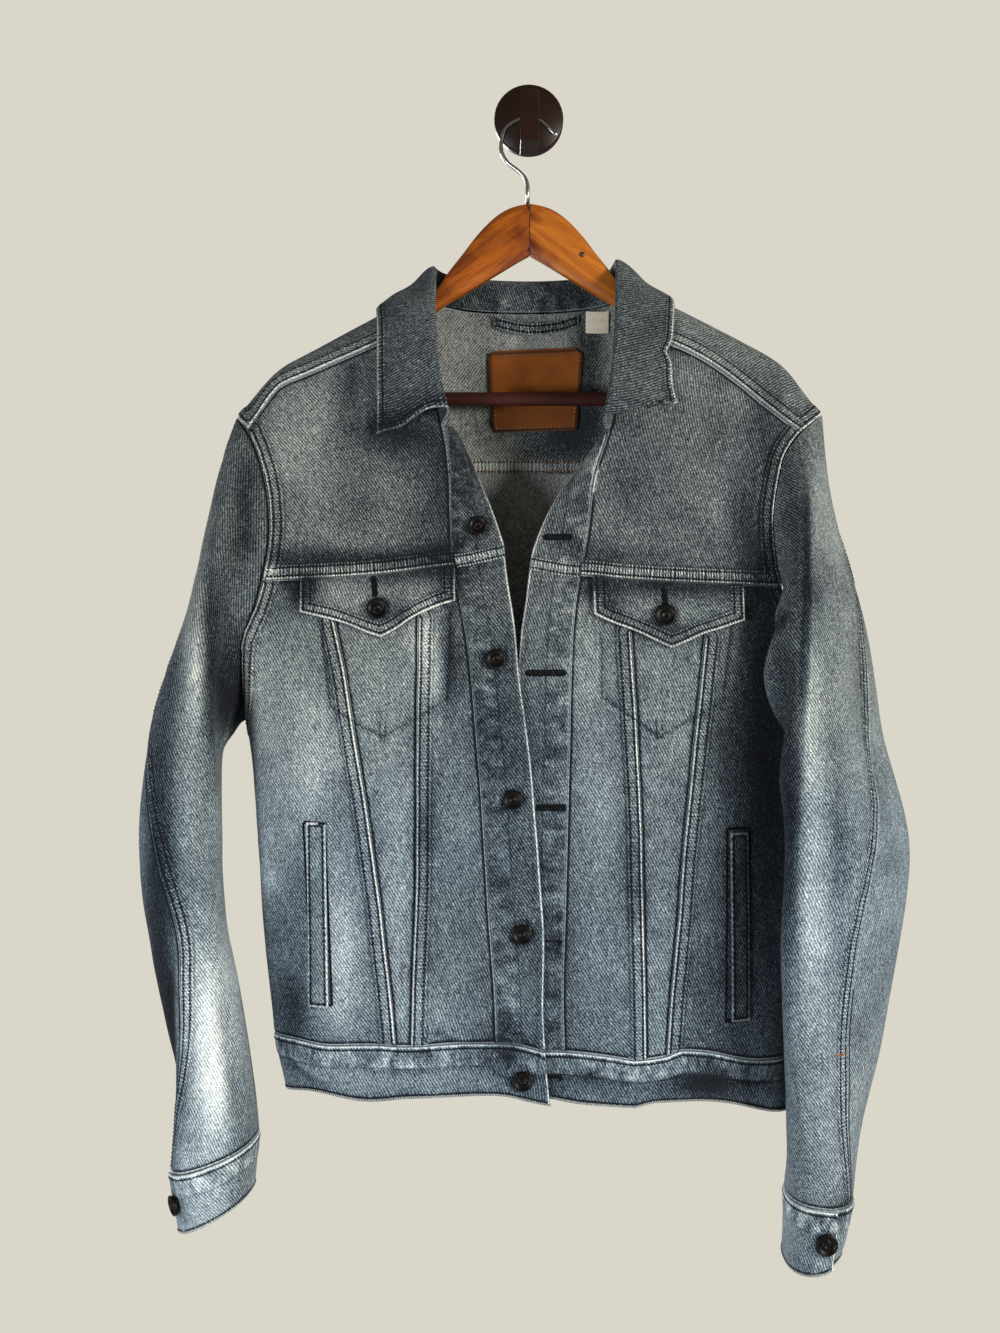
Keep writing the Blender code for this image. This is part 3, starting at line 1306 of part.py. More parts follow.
def hanger_arm(side):
    """One arm of the hanger: a flat board with rounded edges, from the centre joint to its end."""
    rings = []
    half_thick = ARM_THICK / 2
    for x, top, bottom in zip(ARM["x"], ARM["top"], ARM["bottom"]):
        half = (top - bottom) / 2
        ring = []
        for corner in range(ARM_CORNERS):
            turn = 2 * math.pi * (corner + 0.5) / ARM_CORNERS
            across = math.copysign(abs(math.cos(turn)) ** 0.55, math.cos(turn)) * half_thick
            high = math.copysign(abs(math.sin(turn)) ** 0.55, math.sin(turn)) * half
            ring.append((SIDES[side] * x + JOINT_X, HANGER_Y + across, (top + bottom) / 2 + high))
        rings.append(ring)
    points = [point for ring in rings for point in ring]
    faces = [tuple(range(ARM_CORNERS))]
    faces.append(tuple(range(len(points) - ARM_CORNERS, len(points))))
    for ring in range(len(rings) - 1):
        for corner in range(ARM_CORNERS):
            a = ring * ARM_CORNERS + corner
            b = ring * ARM_CORNERS + (corner + 1) % ARM_CORNERS
            faces.append((a, b, b + ARM_CORNERS, a + ARM_CORNERS))
    solid(f"hanger_arm_{side}", points, faces, material("varnished_wood", WOOD_ORANGE, 0.35))


def trouser_bar():
    """The round bar between the arms' lower ends."""
    length = 2 * (ARM["x"][-4] - 0.4)
    bpy.ops.mesh.primitive_cylinder_add(vertices=14, radius=BAR_RADIUS * MM, depth=length * MM,
                                        rotation=(0, math.pi / 2, 0))
    bar = bpy.context.object
    bar.name = "trouser_bar"
    bar.location = Vector((JOINT_X, HANGER_Y, BAR_Z)) * MM
    bar.data.shade_smooth()
    bar.data.set_sharp_from_angle(angle=math.radians(40))
    link(bar, material("stained_bar", BAR_MAROON, 0.4))


WIRE_RADIUS = 1.65
# The wire's route from the wood up and over the peg, to its bent tip
WIRE = columns(
    "x z",
    (-1.5, -79.0), (-1.5, -64.7), (-3.2, -58.5), (-9.0, -52.2), (-19.0, -44.0), (-23.2, -34.0),
    (-21.6, -22.3), (-17.5, -15.8), (-11.8, -11.8), (-5.0, -9.8), (2.0, -9.6), (7.5, -10.6),
    (12.0, -13.6), (17.0, -18.6), (22.5, -23.4),
)
WIRE_POINTS = 34


def hook_wire():
    """The steel hook: one bent wire, flat in the hanger's plane."""
    table = dict(WIRE, way=spaced(np.column_stack((WIRE["x"], WIRE["z"]))))
    part = np.linspace(0, 1, WIRE_POINTS)
    line = bpy.data.curves.new("hanger_hook", "CURVE")
    line.dimensions = "3D"
    line.bevel_depth = WIRE_RADIUS * MM
    line.bevel_resolution = 2
    line.use_fill_caps = True
    spline = line.splines.new("POLY")
    spline.points.add(len(part) - 1)
    for point, at in zip(spline.points, part):
        x = float(read(table, "x", at, key="way"))
        z = float(read(table, "z", at, key="way"))
        point.co = (x * MM, HANGER_Y * MM, z * MM, 1)
    thing = bpy.data.objects.new("hanger_hook", line)
    bpy.context.scene.collection.objects.link(thing)
    link(thing, material("steel_wire", STEEL, 0.25, 1.0))


PLATE_RADIUS = 28.8
PLATE_THICK = 10.0
PEG_WIDTH = 15.0
# The peg's side view: out of the plate, a saddle for the hook, and an upright tongue
PEG = (
    (-10.4, -31), (-44, -31.6), (-44, 8.6), (-42.6, 9.8), (-39.4, 9.8), (-38, 8.6), (-38, -11.6),
    (-36.6, -12.9), (-10.4, -12.9),
)


def wall_hook():
    """The round plate that lies on the wall, and the peg that the wire hook hangs on."""
    bpy.ops.mesh.primitive_cylinder_add(vertices=40, radius=PLATE_RADIUS * MM, depth=PLATE_THICK * MM,
                                        rotation=(math.pi / 2, 0, 0))
    plate = bpy.context.object
    plate.name = "wall_plate"
    plate.location = (0, -PLATE_THICK / 2 * MM, 0)
    edge = plate.modifiers.new("edge", "BEVEL")
    edge.width = 0.0012
    edge.segments = 1
    edge.limit_method = "ANGLE"
    edge.angle_limit = math.radians(60)
    plate.data.shade_smooth()
    plate.data.set_sharp_from_angle(angle=math.radians(40))
    finish = material("brown_plastic", PLATE_BROWN, 0.35)
    link(plate, finish)
    count = len(PEG)
    points = [(half * PEG_WIDTH / 2, y, z) for half in (-1, 1) for y, z in PEG]
    faces = [tuple(range(count)), tuple(range(count, 2 * count))]
    faces += [(i, (i + 1) % count, (i + 1) % count + count, i + count) for i in range(count)]
    solid("wall_peg", points, faces, finish)


# ---------------------------------------------------------------- the whole

def clear_scene():
    for thing in list(bpy.data.objects):
        bpy.data.objects.remove(thing, do_unlink=True)


def build():
    clear_scene()
    bpy.context.scene.collection.children.link(bpy.data.collections.new("denim_jacket"))
    lower = {side: lower_front(side) for side in SIDES}
    yokes = {}
    for side in SIDES:
        front_panels(side, lower[side])
        yokes[side] = front_yoke(side, lower[side])
        placket(side, yokes[side], lower[side])
        flap(side)
        welt(side)
    back = back_panel()
    back_top = back_yoke(yokes)
    waistband(lower, back)
    collar(yokes, back_top)
    cuffs = {}
    for side in SIDES:
        points, normals, back_seam = armhole_loop(side, lower[side], yokes[side], back, back_top)
        sleeve(side, (points, normals), back_seam)
        cuffs[side] = cuff(side)
    buttons(cuffs)
    neck_patch()
    hanging_strip("locker_loop", ((-29, -166.0), (41, -165.0)), 9.0, 7.5, 2.8, 1.8, 9,
                  material("denim_pale", DENIM_PALE))
    hanging_strip("care_label", ((47, -162.5), (66, -162.5)), 17.0, 0.6, 0.6, 1.0, 4,
                  material("satin_label", SATIN_CREAM, 0.5))
    for side in SIDES:
        hanger_arm(side)
    trouser_bar()
    hook_wire()
    wall_hook()


build()
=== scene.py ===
"""An unbuttoned light-wash denim jacket on a wooden hanger that hangs from a round wall hook."""

import itertools
import math

import bmesh
import bpy
import numpy as np
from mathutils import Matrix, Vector
from mathutils.bvhtree import BVHTree
from mathutils.kdtree import KDTree


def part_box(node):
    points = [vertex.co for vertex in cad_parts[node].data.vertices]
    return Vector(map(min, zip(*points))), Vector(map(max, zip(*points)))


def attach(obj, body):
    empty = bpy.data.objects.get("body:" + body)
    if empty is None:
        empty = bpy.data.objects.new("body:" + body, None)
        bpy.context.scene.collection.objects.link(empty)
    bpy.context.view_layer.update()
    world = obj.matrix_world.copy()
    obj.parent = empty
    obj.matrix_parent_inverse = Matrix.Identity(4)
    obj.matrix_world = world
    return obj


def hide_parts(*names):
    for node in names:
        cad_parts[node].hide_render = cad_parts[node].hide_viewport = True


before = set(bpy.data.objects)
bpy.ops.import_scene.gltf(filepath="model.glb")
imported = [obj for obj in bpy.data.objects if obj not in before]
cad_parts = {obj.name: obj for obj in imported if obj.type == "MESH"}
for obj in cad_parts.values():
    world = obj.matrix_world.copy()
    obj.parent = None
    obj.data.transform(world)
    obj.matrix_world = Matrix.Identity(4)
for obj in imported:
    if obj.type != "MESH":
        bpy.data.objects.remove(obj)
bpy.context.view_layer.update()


# ---------------------------------------------------------------- the room
# A pale matt floor well below the hook, an even pale surround, a soft lamp to the right of the jacket, a
# weaker one to its left and one behind it, for its back. The camera stands level with the jacket's chest.
def linear(code):
    """An sRGB hex colour as the linear colour that a shader takes."""
    parts = [int(code[i : i + 2], 16) / 255 for i in (1, 3, 5)]
    return [c / 12.92 if c <= 0.04045 else ((c + 0.055) / 1.055) ** 2.4 for c in parts] + [1.0]


def add(tree, kind, inputs=None, **settings):
    """Adds a node. Its inputs are given as numbers, as colours, or as the sockets that feed them."""
    node = tree.nodes.new(kind)
    for name, value in settings.items():
        setattr(node, name, value)
    for key, value in (inputs or {}).items():
        if isinstance(value, bpy.types.NodeSocket):
            tree.links.new(value, node.inputs[key])
        else:
            node.inputs[key].default_value = value
    return node


def material(name):
    """A new material, its empty node tree and its output node."""
    finish = bpy.data.materials.new(name)
    finish.use_nodes = True
    finish.node_tree.nodes.clear()
    return finish, finish.node_tree, add(finish.node_tree, "ShaderNodeOutputMaterial")


def mottled(tree, place, scale, detail, low, high):
    """Two close tones in a soft mottle, as sockets: the mottle's value and the mixed colour."""
    at = {} if place is None else {"Vector": place}
    mottle = add(tree, "ShaderNodeTexNoise", {**at, "Scale": scale, "Detail": detail})
    tone = add(tree, "ShaderNodeMix", {"Factor": mottle.outputs[0], 6: linear(low), 7: linear(high)},
               data_type="RGBA")
    return mottle.outputs[0], tone.outputs[2]


def surfaced(made, looks, height=None, strength=0.0, depth=0.0):
    """Ends a material with its looks, and with a bump from height, depth metres deep. Gives the material."""
    finish, tree, output = made
    if height is not None:
        bump = add(tree, "ShaderNodeBump", {"Strength": strength, "Distance": depth, "Height": height})
        looks = {**looks, "Normal": bump.outputs[0]}
    skin = add(tree, "ShaderNodeBsdfPrincipled", looks)
    tree.links.new(skin.outputs[0], output.inputs[0])
    return finish


def matt_paint():
    """Rolled emulsion paint: dead matt, in two tones that can hardly be told apart."""
    made = material("matt_floor_paint")
    tone = mottled(made[1], None, 6.0, 3.0, "#D9D6CE", "#E2E0DA")[1]
    return surfaced(made, {"Base Color": tone, "Roughness": 0.9})


FLOOR_LEVEL = -1.75
FLOOR_HALF = 1.3
FLOOR_MIDDLE_Y = -0.3  # the floor is centred a little in front of the wall hook
floor_corners = [(x * FLOOR_HALF, y * FLOOR_HALF + FLOOR_MIDDLE_Y, FLOOR_LEVEL)
                 for x, y in ((-1, -1), (1, -1), (1, 1), (-1, 1))]
floor_mesh = bpy.data.meshes.new("floor")
floor_mesh.from_pydata(floor_corners, [], [(0, 1, 2, 3)])
floor_mesh.materials.append(matt_paint())
floor = bpy.data.objects.new("floor", floor_mesh)
bpy.context.scene.collection.objects.link(floor)

world = bpy.data.worlds.new("pale_room")
bpy.context.scene.world = world
world.use_nodes = True
world.node_tree.nodes.clear()
world_output = add(world.node_tree, "ShaderNodeOutputWorld")
surround = add(world.node_tree, "ShaderNodeBackground", {"Color": linear("#E6E3DB"), "Strength": 0.24})
seen = add(world.node_tree, "ShaderNodeBackground", {"Color": linear("#DAD6C9"), "Strength": 1.0})
path = add(world.node_tree, "ShaderNodeLightPath")
both = add(world.node_tree, "ShaderNodeMixShader", {0: path.outputs["Is Camera Ray"], 1: surround.outputs[0],
                                                    2: seen.outputs[0]})
world.node_tree.links.new(both.outputs[0], world_output.inputs[0])


def lamp(name, place, aim, size, watts, tint):
    """A round area lamp that doesn't show itself."""
    data = bpy.data.lights.new(name, "AREA")
    data.shape = "DISK"
    data.size = size
    data.energy = watts
    data.color = linear(tint)[:3]
    light = bpy.data.objects.new(name, data)
    light.location = place
    light.rotation_euler = (Vector(aim) - Vector(place)).to_track_quat("-Z", "Y").to_euler()
    light.visible_camera = False
    bpy.context.scene.collection.objects.link(light)


CHEST = (0.0, -0.06, -0.45)
LAMPS = (  # name, place, width in metres, watts, tint
    ("window", (1.75, -1.2, -0.2), 0.5, 60.0, "#FFFBF2"),
    ("fill", (-1.6, -1.7, -0.95), 0.8, 40.0, "#F6FAFF"),
    ("back", (-0.9, 1.9, 0.1), 0.8, 34.0, "#FFFDF8"),
)
for name, place, size, watts, tint in LAMPS:
    lamp(name, place, CHEST, size, watts, tint)

CAMERA_PLACE = (-0.024, -1.1, -0.456)
SENSOR_MM, LENS_MM = 36.0, 35.38
camera_data = bpy.data.cameras.new("camera")
camera_data.sensor_width = SENSOR_MM
camera_data.lens = LENS_MM
camera = bpy.data.objects.new("camera", camera_data)
camera.location = CAMERA_PLACE
camera.rotation_euler = (math.pi / 2, 0, 0)
bpy.context.scene.collection.objects.link(camera)
bpy.context.scene.camera = camera
bpy.context.scene.view_settings.view_transform = "Standard"


# ---------------------------------------------------------------- wall hook
# A turned disc that lies on the wall, and a forward peg with a saddle for the hanger's wire. Both are moulded
# in dark brown plastic with a satin skin.
MM = 0.001


def link(name, mesh):
    piece = bpy.data.objects.new(name, mesh)
    bpy.context.scene.collection.objects.link(piece)
    return piece


def joined(node):
    """The CAD solid's loose triangles joined up again, in four-sided faces where they lie flat."""
    shape = bmesh.new()
    shape.from_mesh(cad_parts[node].data)
    bmesh.ops.remove_doubles(shape, verts=shape.verts, dist=0.01 * MM)
    bmesh.ops.join_triangles(shape, faces=shape.faces, angle_face_threshold=math.radians(50),
                             angle_shape_threshold=math.radians(70))
    return shape


def hard_piece(name, node, finish, round_off=0.0, sharp=35.0, levels=0):
    """A rigid piece on its CAD solid, smooth across gentle edges, its sharp ones rounded off."""
    shape = joined(node)
    if levels:
        crease = shape.edges.layers.float.new("crease_edge")
        corner_crease = shape.verts.layers.float.new("crease_vert")
        for edge in shape.edges:
            edge[crease] = float(edge.calc_face_angle(0) > math.radians(sharp))
        for corner in shape.verts:
            corner[corner_crease] = float(sum(edge[crease] for edge in corner.link_edges) > 2)
    mesh = bpy.data.meshes.new(name)
    shape.to_mesh(mesh)
    shape.free()
    mesh.materials.append(finish)
    mesh.polygons.foreach_set("use_smooth", [True] * len(mesh.polygons))
    mesh.set_sharp_from_angle(angle=math.radians(sharp))
    piece = link(name, mesh)
    if levels:
        finer = piece.modifiers.new("finer", "SUBSURF")
        finer.levels = finer.render_levels = levels
    if round_off:
        bevel = piece.modifiers.new("round_off", "BEVEL")
        bevel.width = round_off
        bevel.segments = 3
        bevel.limit_method = "ANGLE"
        bevel.angle_limit = math.radians(sharp)
        bevel.harden_normals = True
    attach(piece, "root")
    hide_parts(node)


def satin_plastic():
    """Moulded plastic, nearly black brown, with a fine pebble that spreads its gloss."""
    made = material("satin_brown_plastic")
    tree = made[1]
    place = add(tree, "ShaderNodeTexCoord").outputs["Object"]
    pebble = add(tree, "ShaderNodeTexNoise", {"Vector": place, "Scale": 900.0, "Detail": 2.0})
    tone = mottled(tree, place, 60.0, 3.0, "#170A06", "#25120B")[1]
    looks = {"Base Color": tone, "Roughness": 0.38, "Specular IOR Level": 0.25}
    return surfaced(made, looks, pebble.outputs[0], 0.25, 0.1 * MM)


plastic = satin_plastic()
hard_piece("plate", "wall_plate", plastic, sharp=50.0)
hard_piece("peg", "wall_peg", plastic, round_off=1.2 * MM)


# ---------------------------------------------------------------- hanger
# Two arms of varnished softwood, joined at the centre, a bent wire hook and a stained trouser bar. The wire
# lies over the peg, and the bar runs between the arms' lower ends.
def varnished_wood(name, lean, seed, low, high):
    """Orange-brown softwood under a clear varnish. The grain runs along the arm, with darker figure."""
    made = material(name)
    tree = made[1]
    place = add(tree, "ShaderNodeTexCoord").outputs["Object"]
    along = add(tree, "ShaderNodeMapping", {"Vector": place, "Location": (0, 0, seed),
                                            "Rotation": (0, lean, 0)})
    grain_place = add(tree, "ShaderNodeMapping", {"Vector": along.outputs[0], "Scale": (9.0, 120.0, 120.0)})
    grain = add(tree, "ShaderNodeTexNoise", {"Vector": grain_place.outputs[0], "Scale": 1.6, "Detail": 5.0,
                                             "Roughness": 0.6, "Distortion": 0.6})
    figure_place = add(tree, "ShaderNodeMapping", {"Vector": along.outputs[0], "Scale": (12.0, 40.0, 34.0)})
    figure = add(tree, "ShaderNodeTexNoise", {"Vector": figure_place.outputs[0], "Scale": 1.0, "Detail": 3.0,
                                              "Distortion": 1.6})
    colours = []
    for pattern, stops in ((grain, ((0.3, low), (0.72, high))),
                           (figure, ((0.52, "#FFFFFF"), (0.74, "#8C4420")))):
        ramp = add(tree, "ShaderNodeValToRGB", {"Fac": pattern.outputs[0]})
        for element, (position, code) in zip(ramp.color_ramp.elements, stops):
            element.position, element.color = position, linear(code)
        colours.append(ramp.outputs[0])
    tone = add(tree, "ShaderNodeMix", {"Factor": 1.0, 6: colours[0], 7: colours[1]},
               data_type="RGBA", blend_type="MULTIPLY")
    looks = {"Base Color": tone.outputs[2], "Roughness": 0.5, "Specular IOR Level": 0.25, "Coat Weight": 0.12,
             "Coat Roughness": 0.25}
    return surfaced(made, looks, grain.outputs[0], 0.2, 0.15 * MM)


def plain_finish(name, tone_a, tone_b, scale, roughness, metallic=0.0, specular=0.5):
    """A finish of two close tones in a soft mottle, with a slight unevenness that breaks up its gloss."""
    made = material(name)
    place = add(made[1], "ShaderNodeTexCoord").outputs["Object"]
    mottle, tone = mottled(made[1], place, scale, 4.0, tone_a, tone_b)
    looks = {"Base Color": tone, "Roughness": roughness, "Metallic": metallic, "Specular IOR Level": specular}
    return surfaced(made, looks, mottle, 0.3, 0.05 * MM)


def solid_piece(name, mesh, finish, sharp):
    """Links a closed mesh as a piece, its normals outward and its gentle edges smooth."""
    shape = bmesh.new()
    shape.from_mesh(mesh)
    bmesh.ops.recalc_face_normals(shape, faces=shape.faces)
    shape.to_mesh(mesh)
    shape.free()
    mesh.polygons.foreach_set("use_smooth", [True] * len(mesh.polygons))
    mesh.set_sharp_from_angle(angle=math.radians(sharp))
    mesh.materials.append(finish)
    return link(name, mesh)


def lathe(name, base, axis, profile, scale, count, finish):
    """A turned solid: profile holds radius and height from the middle out, measured from base along axis."""
    first = np.cross(axis, (0.0, 0.0, 1.0))
    first /= np.linalg.norm(first)
    second = np.cross(axis, first)
    spots, faces = [], []
    for radius, height in profile:
        turns = [0.0] if radius == 0 else np.arange(count) / count * 2 * math.pi
        spots.append([base + scale * (axis * height + radius * (first * math.cos(t) + second * math.sin(t)))
                      for t in turns])
    starts = np.cumsum([0] + [len(ring) for ring in spots])
    for i, (inner, outer) in enumerate(zip(spots, spots[1:])):
        for k in range(count):
            a = [starts[i] + (k % len(inner)), starts[i] + ((k + 1) % len(inner))]
            b = [starts[i + 1] + (k % len(outer)), starts[i + 1] + ((k + 1) % len(outer))]
            faces.append(tuple(int(c) for c in dict.fromkeys([a[0], b[0], b[1], a[1]])))
    mesh = bpy.data.meshes.new(name)
    mesh.from_pydata([tuple(p) for ring in spots for p in ring], [], faces)
    return solid_piece(name, mesh, finish, 60.0)


ARM_LEAN = math.radians(33)
for side, lean, seed, low, high in (("right", ARM_LEAN, 0.3, "#5E2803", "#A5560C"),
                                    ("left", -ARM_LEAN, 0.85, "#84430C", "#B4691B")):
    hard_piece(f"hanger_{side}_arm", f"hanger_arm_{side}",
               varnished_wood(f"varnished_wood_{side}", lean, seed, low, high),
               round_off=1.2 * MM, levels=2)
# drawn wire, plated: a soft-edged mirror
steel = plain_finish("plated_steel_wire", "#8D8B86", "#B9B7B2", 300.0, 0.28, 1.0)
hard_piece("hanger_wire", "hanger_hook", steel, sharp=60.0)
# beech dowel, stained dark red-brown: matt, with a faint streak
stained = plain_finish("stained_bar", "#2A0F0B", "#3B1814", 90.0, 0.5, specular=0.2)
hard_piece("hanger_bar", "trouser_bar", stained, round_off=1.0 * MM)

# The arms meet in a dark glue line, and one small screw shows on the left arm.
JOINT = ((-0.6, 0.6), (-38.2, -25.8), (-119.5, -81.5))  # x, y and z in mm
glue_mesh = bpy.data.meshes.new("glue_line")
glue_mesh.from_pydata([(x * MM, y * MM, z * MM) for x in JOINT[0] for y in JOINT[1] for z in JOINT[2]], [],
                      [(0, 1, 3, 2), (4, 5, 7, 6), (0, 1, 5, 4), (2, 3, 7, 6), (0, 2, 6, 4), (1, 3, 7, 5)])
glue = solid_piece("glue_line", glue_mesh, plain_finish("dark_glue", "#2A170C", "#3A2314", 200.0, 0.6), 30.0)
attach(glue, "root")
# the screw's radius and height in mm, from the middle of its slot out
SCREW = ((0.0, 0.2), (0.7, 0.2), (1.0, 0.7), (1.9, 0.6), (2.3, 0.1), (2.3, -1.0), (0.0, -1.0))
SCREW_PLACE = np.array((42.4, -38.9, -122.3)) * MM
OUT_OF_WALL = np.array((0.0, -1.0, 0.0))
screw = lathe("hanger_screw", SCREW_PLACE, OUT_OF_WALL, SCREW, MM, 20,
              plain_finish("browned_steel", "#3A1E18", "#6A4A3C", 800.0, 0.4, 0.6))
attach(screw, "root")


# ---------------------------------------------------------------- denim
# Washed twill: indigo warp over a pale weft. The wash fades whatever stands proud and leaves the indigo
# beside seams and under flaps, so each point carries a wear value that the material turns to a colour.
# The wear value also carries painted shade and painted highlight, laid on from the wash and crease tables
# below.
FACE, REVERSE, RIM = 0, 1, 2
TWILL_MM = 2.1  # real twill lines are 1 mm apart; drawn this coarse, so that they show
SPECK_MM = 1.15  # pale weft between worn warp threads, coarser than real for the same reason
BLOTCH_MM = 3.4  # uneven dye, in patches a little wider than the twill
SLUB_MM = (1.7, 16.0)  # thick places in the warp, across and along it
FAR_OFF, NO_ROW = 99.0, -9.0  # mm from an edge where no seam is near, and of a row that isn't there


def denim(name, tones, steep, contrast, tint_a, tint_b):
    """Twill denim. tones are the colours from unfaded to worn through, tint_a and tint_b the wash's hues.

    Seams are drawn from each point's distance to the nearest sewn edge and its run along it, so their
    whitened edges, pricked rows and puckers stay crisp between the points of the mesh."""
    made = material(name)
    tree = made[1]

    def point_value(name, part="Fac"):
        return add(tree, "ShaderNodeAttribute", attribute_name=name).outputs[part]

    def number(operation, *values):
        return add(tree, "ShaderNodeMath", dict(enumerate(values)), operation=operation).outputs[0]

    def fall(value, low, high):
        return add(tree, "ShaderNodeMapRange", {0: value, 1: low, 2: high, 3: 1.0, 4: 0.0},
                   interpolation_type="SMOOTHSTEP").outputs[0]

    def noise(place, scale, detail, roughness=0.6):
        return add(tree, "ShaderNodeTexNoise", {"Vector": place, "Scale": scale, "Detail": detail,
                                                "Roughness": roughness}).outputs[0]

    place = add(tree, "ShaderNodeUVMap", uv_map="cloth").outputs[0]
    wear, tint, ribs = (point_value(name) for name in ("wear", "tint", "ribs"))
    gap, run, white = add(tree, "ShaderNodeSeparateXYZ", {0: point_value("seam", "Vector")}).outputs
    row_a, row_b, band = add(tree, "ShaderNodeSeparateXYZ", {0: point_value("rows", "Vector")}).outputs

    # the weave
    turned = add(tree, "ShaderNodeMapping", {"Vector": place, "Rotation": (0, 0, steep)})
    twill = add(tree, "ShaderNodeTexWave", {"Vector": turned.outputs[0], "Scale": 0.314 / (TWILL_MM * MM),
                                            "Distortion": 1.8, "Detail": 2.0, "Detail Scale": 1.4}).outputs[1]
    solid = add(tree, "ShaderNodeTexCoord").outputs["Object"]
    speck = noise(solid, 1 / (SPECK_MM * MM), 2.0, 0.7)
    blotch = noise(solid, 1 / (BLOTCH_MM * MM), 2.0)
    slub_scale = (1 / (SLUB_MM[0] * MM), 1 / (SLUB_MM[1] * MM), 1.0)
    slub_place = add(tree, "ShaderNodeMapping", {"Vector": place, "Scale": slub_scale})
    slub = noise(slub_place.outputs[0], 1.0, 2.0)

    # the seam: its whitened folded edge, or a painted shadow line in the gap where the whitening is below
    # zero;
    # its pricked rows, their grooves darkened as painted shade; the dark step beyond its band, dirt and
    # painted shadow both; and its puckers
    # a painted shadow line reaches farther from the edge than a whitened fold
    reach = number("MULTIPLY_ADD", number("LESS_THAN", white, 0.0), 1.5, 1.3)
    edge = number("MULTIPLY", fall(gap, 0.3, reach), white)
    rows_near = number("MINIMUM", number("ABSOLUTE", number("SUBTRACT", gap, row_a)),
                       number("ABSOLUTE", number("SUBTRACT", gap, row_b)))
    row_grooves = fall(rows_near, 0.25, 1.15)
    inside = fall(gap, number("SUBTRACT", band, 0.4), number("ADD", band, 0.7))
    beyond = fall(number("ABSOLUTE", number("SUBTRACT", gap, number("ADD", band, 1.1))), 0.0, 1.3)
    wide = number("MINIMUM", number("MULTIPLY", band, 0.1), 1.0)
    ladder_place = add(tree, "ShaderNodeCombineXYZ", {0: number("MULTIPLY", run, 0.4),
                                                      1: number("MULTIPLY", gap, 0.025), 2: band}).outputs[0]
    swing = number("MULTIPLY_ADD", noise(ladder_place, 1.0, 1.0), 12.0, number("MULTIPLY", run, 2 * math.pi))
    narrow = fall(band, 11.0, 13.0)
    even = number("MULTIPLY", noise(ladder_place, 2.1, 1.0), narrow)
    ladder = number("MULTIPLY", number("SINE", swing), even)
    wrinkles = number("MULTIPLY", number("SUBTRACT", noise(ladder_place, 2.5, 2.0), 0.53),
                      number("MULTIPLY_ADD", narrow, -2.6, 2.6))
    ladder = number("MULTIPLY", number("ADD", ladder, wrinkles), number("MULTIPLY", inside, ribs))

    # how worn the cloth is in all, with its painted shade and painted highlight, which gives its colour
    total = number("ADD", wear, edge)
    for change, share in ((ladder, 0.95), (row_grooves, -0.38), (number("MULTIPLY", beyond, wide), -0.13)):
        total = number("MULTIPLY_ADD", change, share, total)
    for pattern, share in ((twill, 0.24), (speck, 0.95), (blotch, 0.3), (slub, 0.24)):
        total = number("MULTIPLY_ADD", number("SUBTRACT", pattern, 0.5), share * contrast, total)
    ramp = add(tree, "ShaderNodeValToRGB", {"Fac": total})
    while len(ramp.color_ramp.elements) < len(tones):
        ramp.color_ramp.elements.new(0.5)
    for element, (position, code) in zip(ramp.color_ramp.elements, tones):
        element.position = position
        element.color = linear(code)
    hue = add(tree, "ShaderNodeMix", {"Factor": tint, 6: linear(tint_a), 7: linear(tint_b)},
              data_type="RGBA")
    tone = add(tree, "ShaderNodeMix", {"Factor": 1.0, 6: ramp.outputs[0], 7: hue.outputs[2]},
               data_type="RGBA", blend_type="MULTIPLY")
    height = number("MULTIPLY_ADD", twill, 0.1, number("MULTIPLY", speck, 0.3))
    height = number("MULTIPLY_ADD", row_grooves, -0.4, number("MULTIPLY_ADD", ladder, 0.8, height))
    looks = {"Base Color": tone.outputs[2], "Roughness": 0.95, "Specular IOR Level": 0.2,
             "Sheen Weight": 0.06, "Sheen Roughness": 0.5}
    return surfaced(made, looks, height, 0.7, 1.0 * MM)


TWILL_LEAN = math.radians(28)
FACE_TONES = ((0.0, "#090D14"), (0.2, "#222B36"), (0.42, "#515C65"), (0.62, "#7E8B92"), (0.8, "#A9B4B8"),
              (1.0, "#E6EAE8"))
REVERSE_TONES = ((0.0, "#20262B"), (0.5, "#84898A"), (1.0, "#D0D2CE"))
FOLD_TONES = ((0.0, "#2C3640"), (0.5, "#89939A"), (1.0, "#E6E9E6"))
# the face: slate blue over pale threads, warmer above and cooler towards the hem
denim_face = denim("washed_denim_face", FACE_TONES, -TWILL_LEAN, 1.3, "#FFF3E2", "#F5FAFF")
# the reverse: mostly pale weft, greyer and rougher to the eye, its twill leaning the other way
denim_reverse = denim("washed_denim_reverse", REVERSE_TONES, TWILL_LEAN, 1.5, "#FFFCF4", "#F4F8FF")
# folded edges, rubbed pale by the wash
denim_rim = denim("worn_denim_fold", FOLD_TONES, -TWILL_LEAN, 0.9, "#FBFCF6", "#F2F7FC")
DENIM = (denim_face, denim_reverse, denim_rim)


def clouds(points, size, seed):
    """Soft random hills from -1 to 1, one about every size millimetres."""
    spot = points / (size * MM) + seed * 7.31
    cell = np.floor(spot)
    part = spot - cell
    part = part * part * (3 - 2 * part)
    total = np.zeros(len(points))
    for corner in itertools.product((0, 1), repeat=3):
        at = cell + corner
        value = np.sin(at @ (127.1, 311.7, 74.7) + seed * 3.7) * 43758.5453
        value -= np.floor(value)
        total += value * np.prod(np.where(corner, part, 1 - part), axis=1)
    return 2 * total - 1


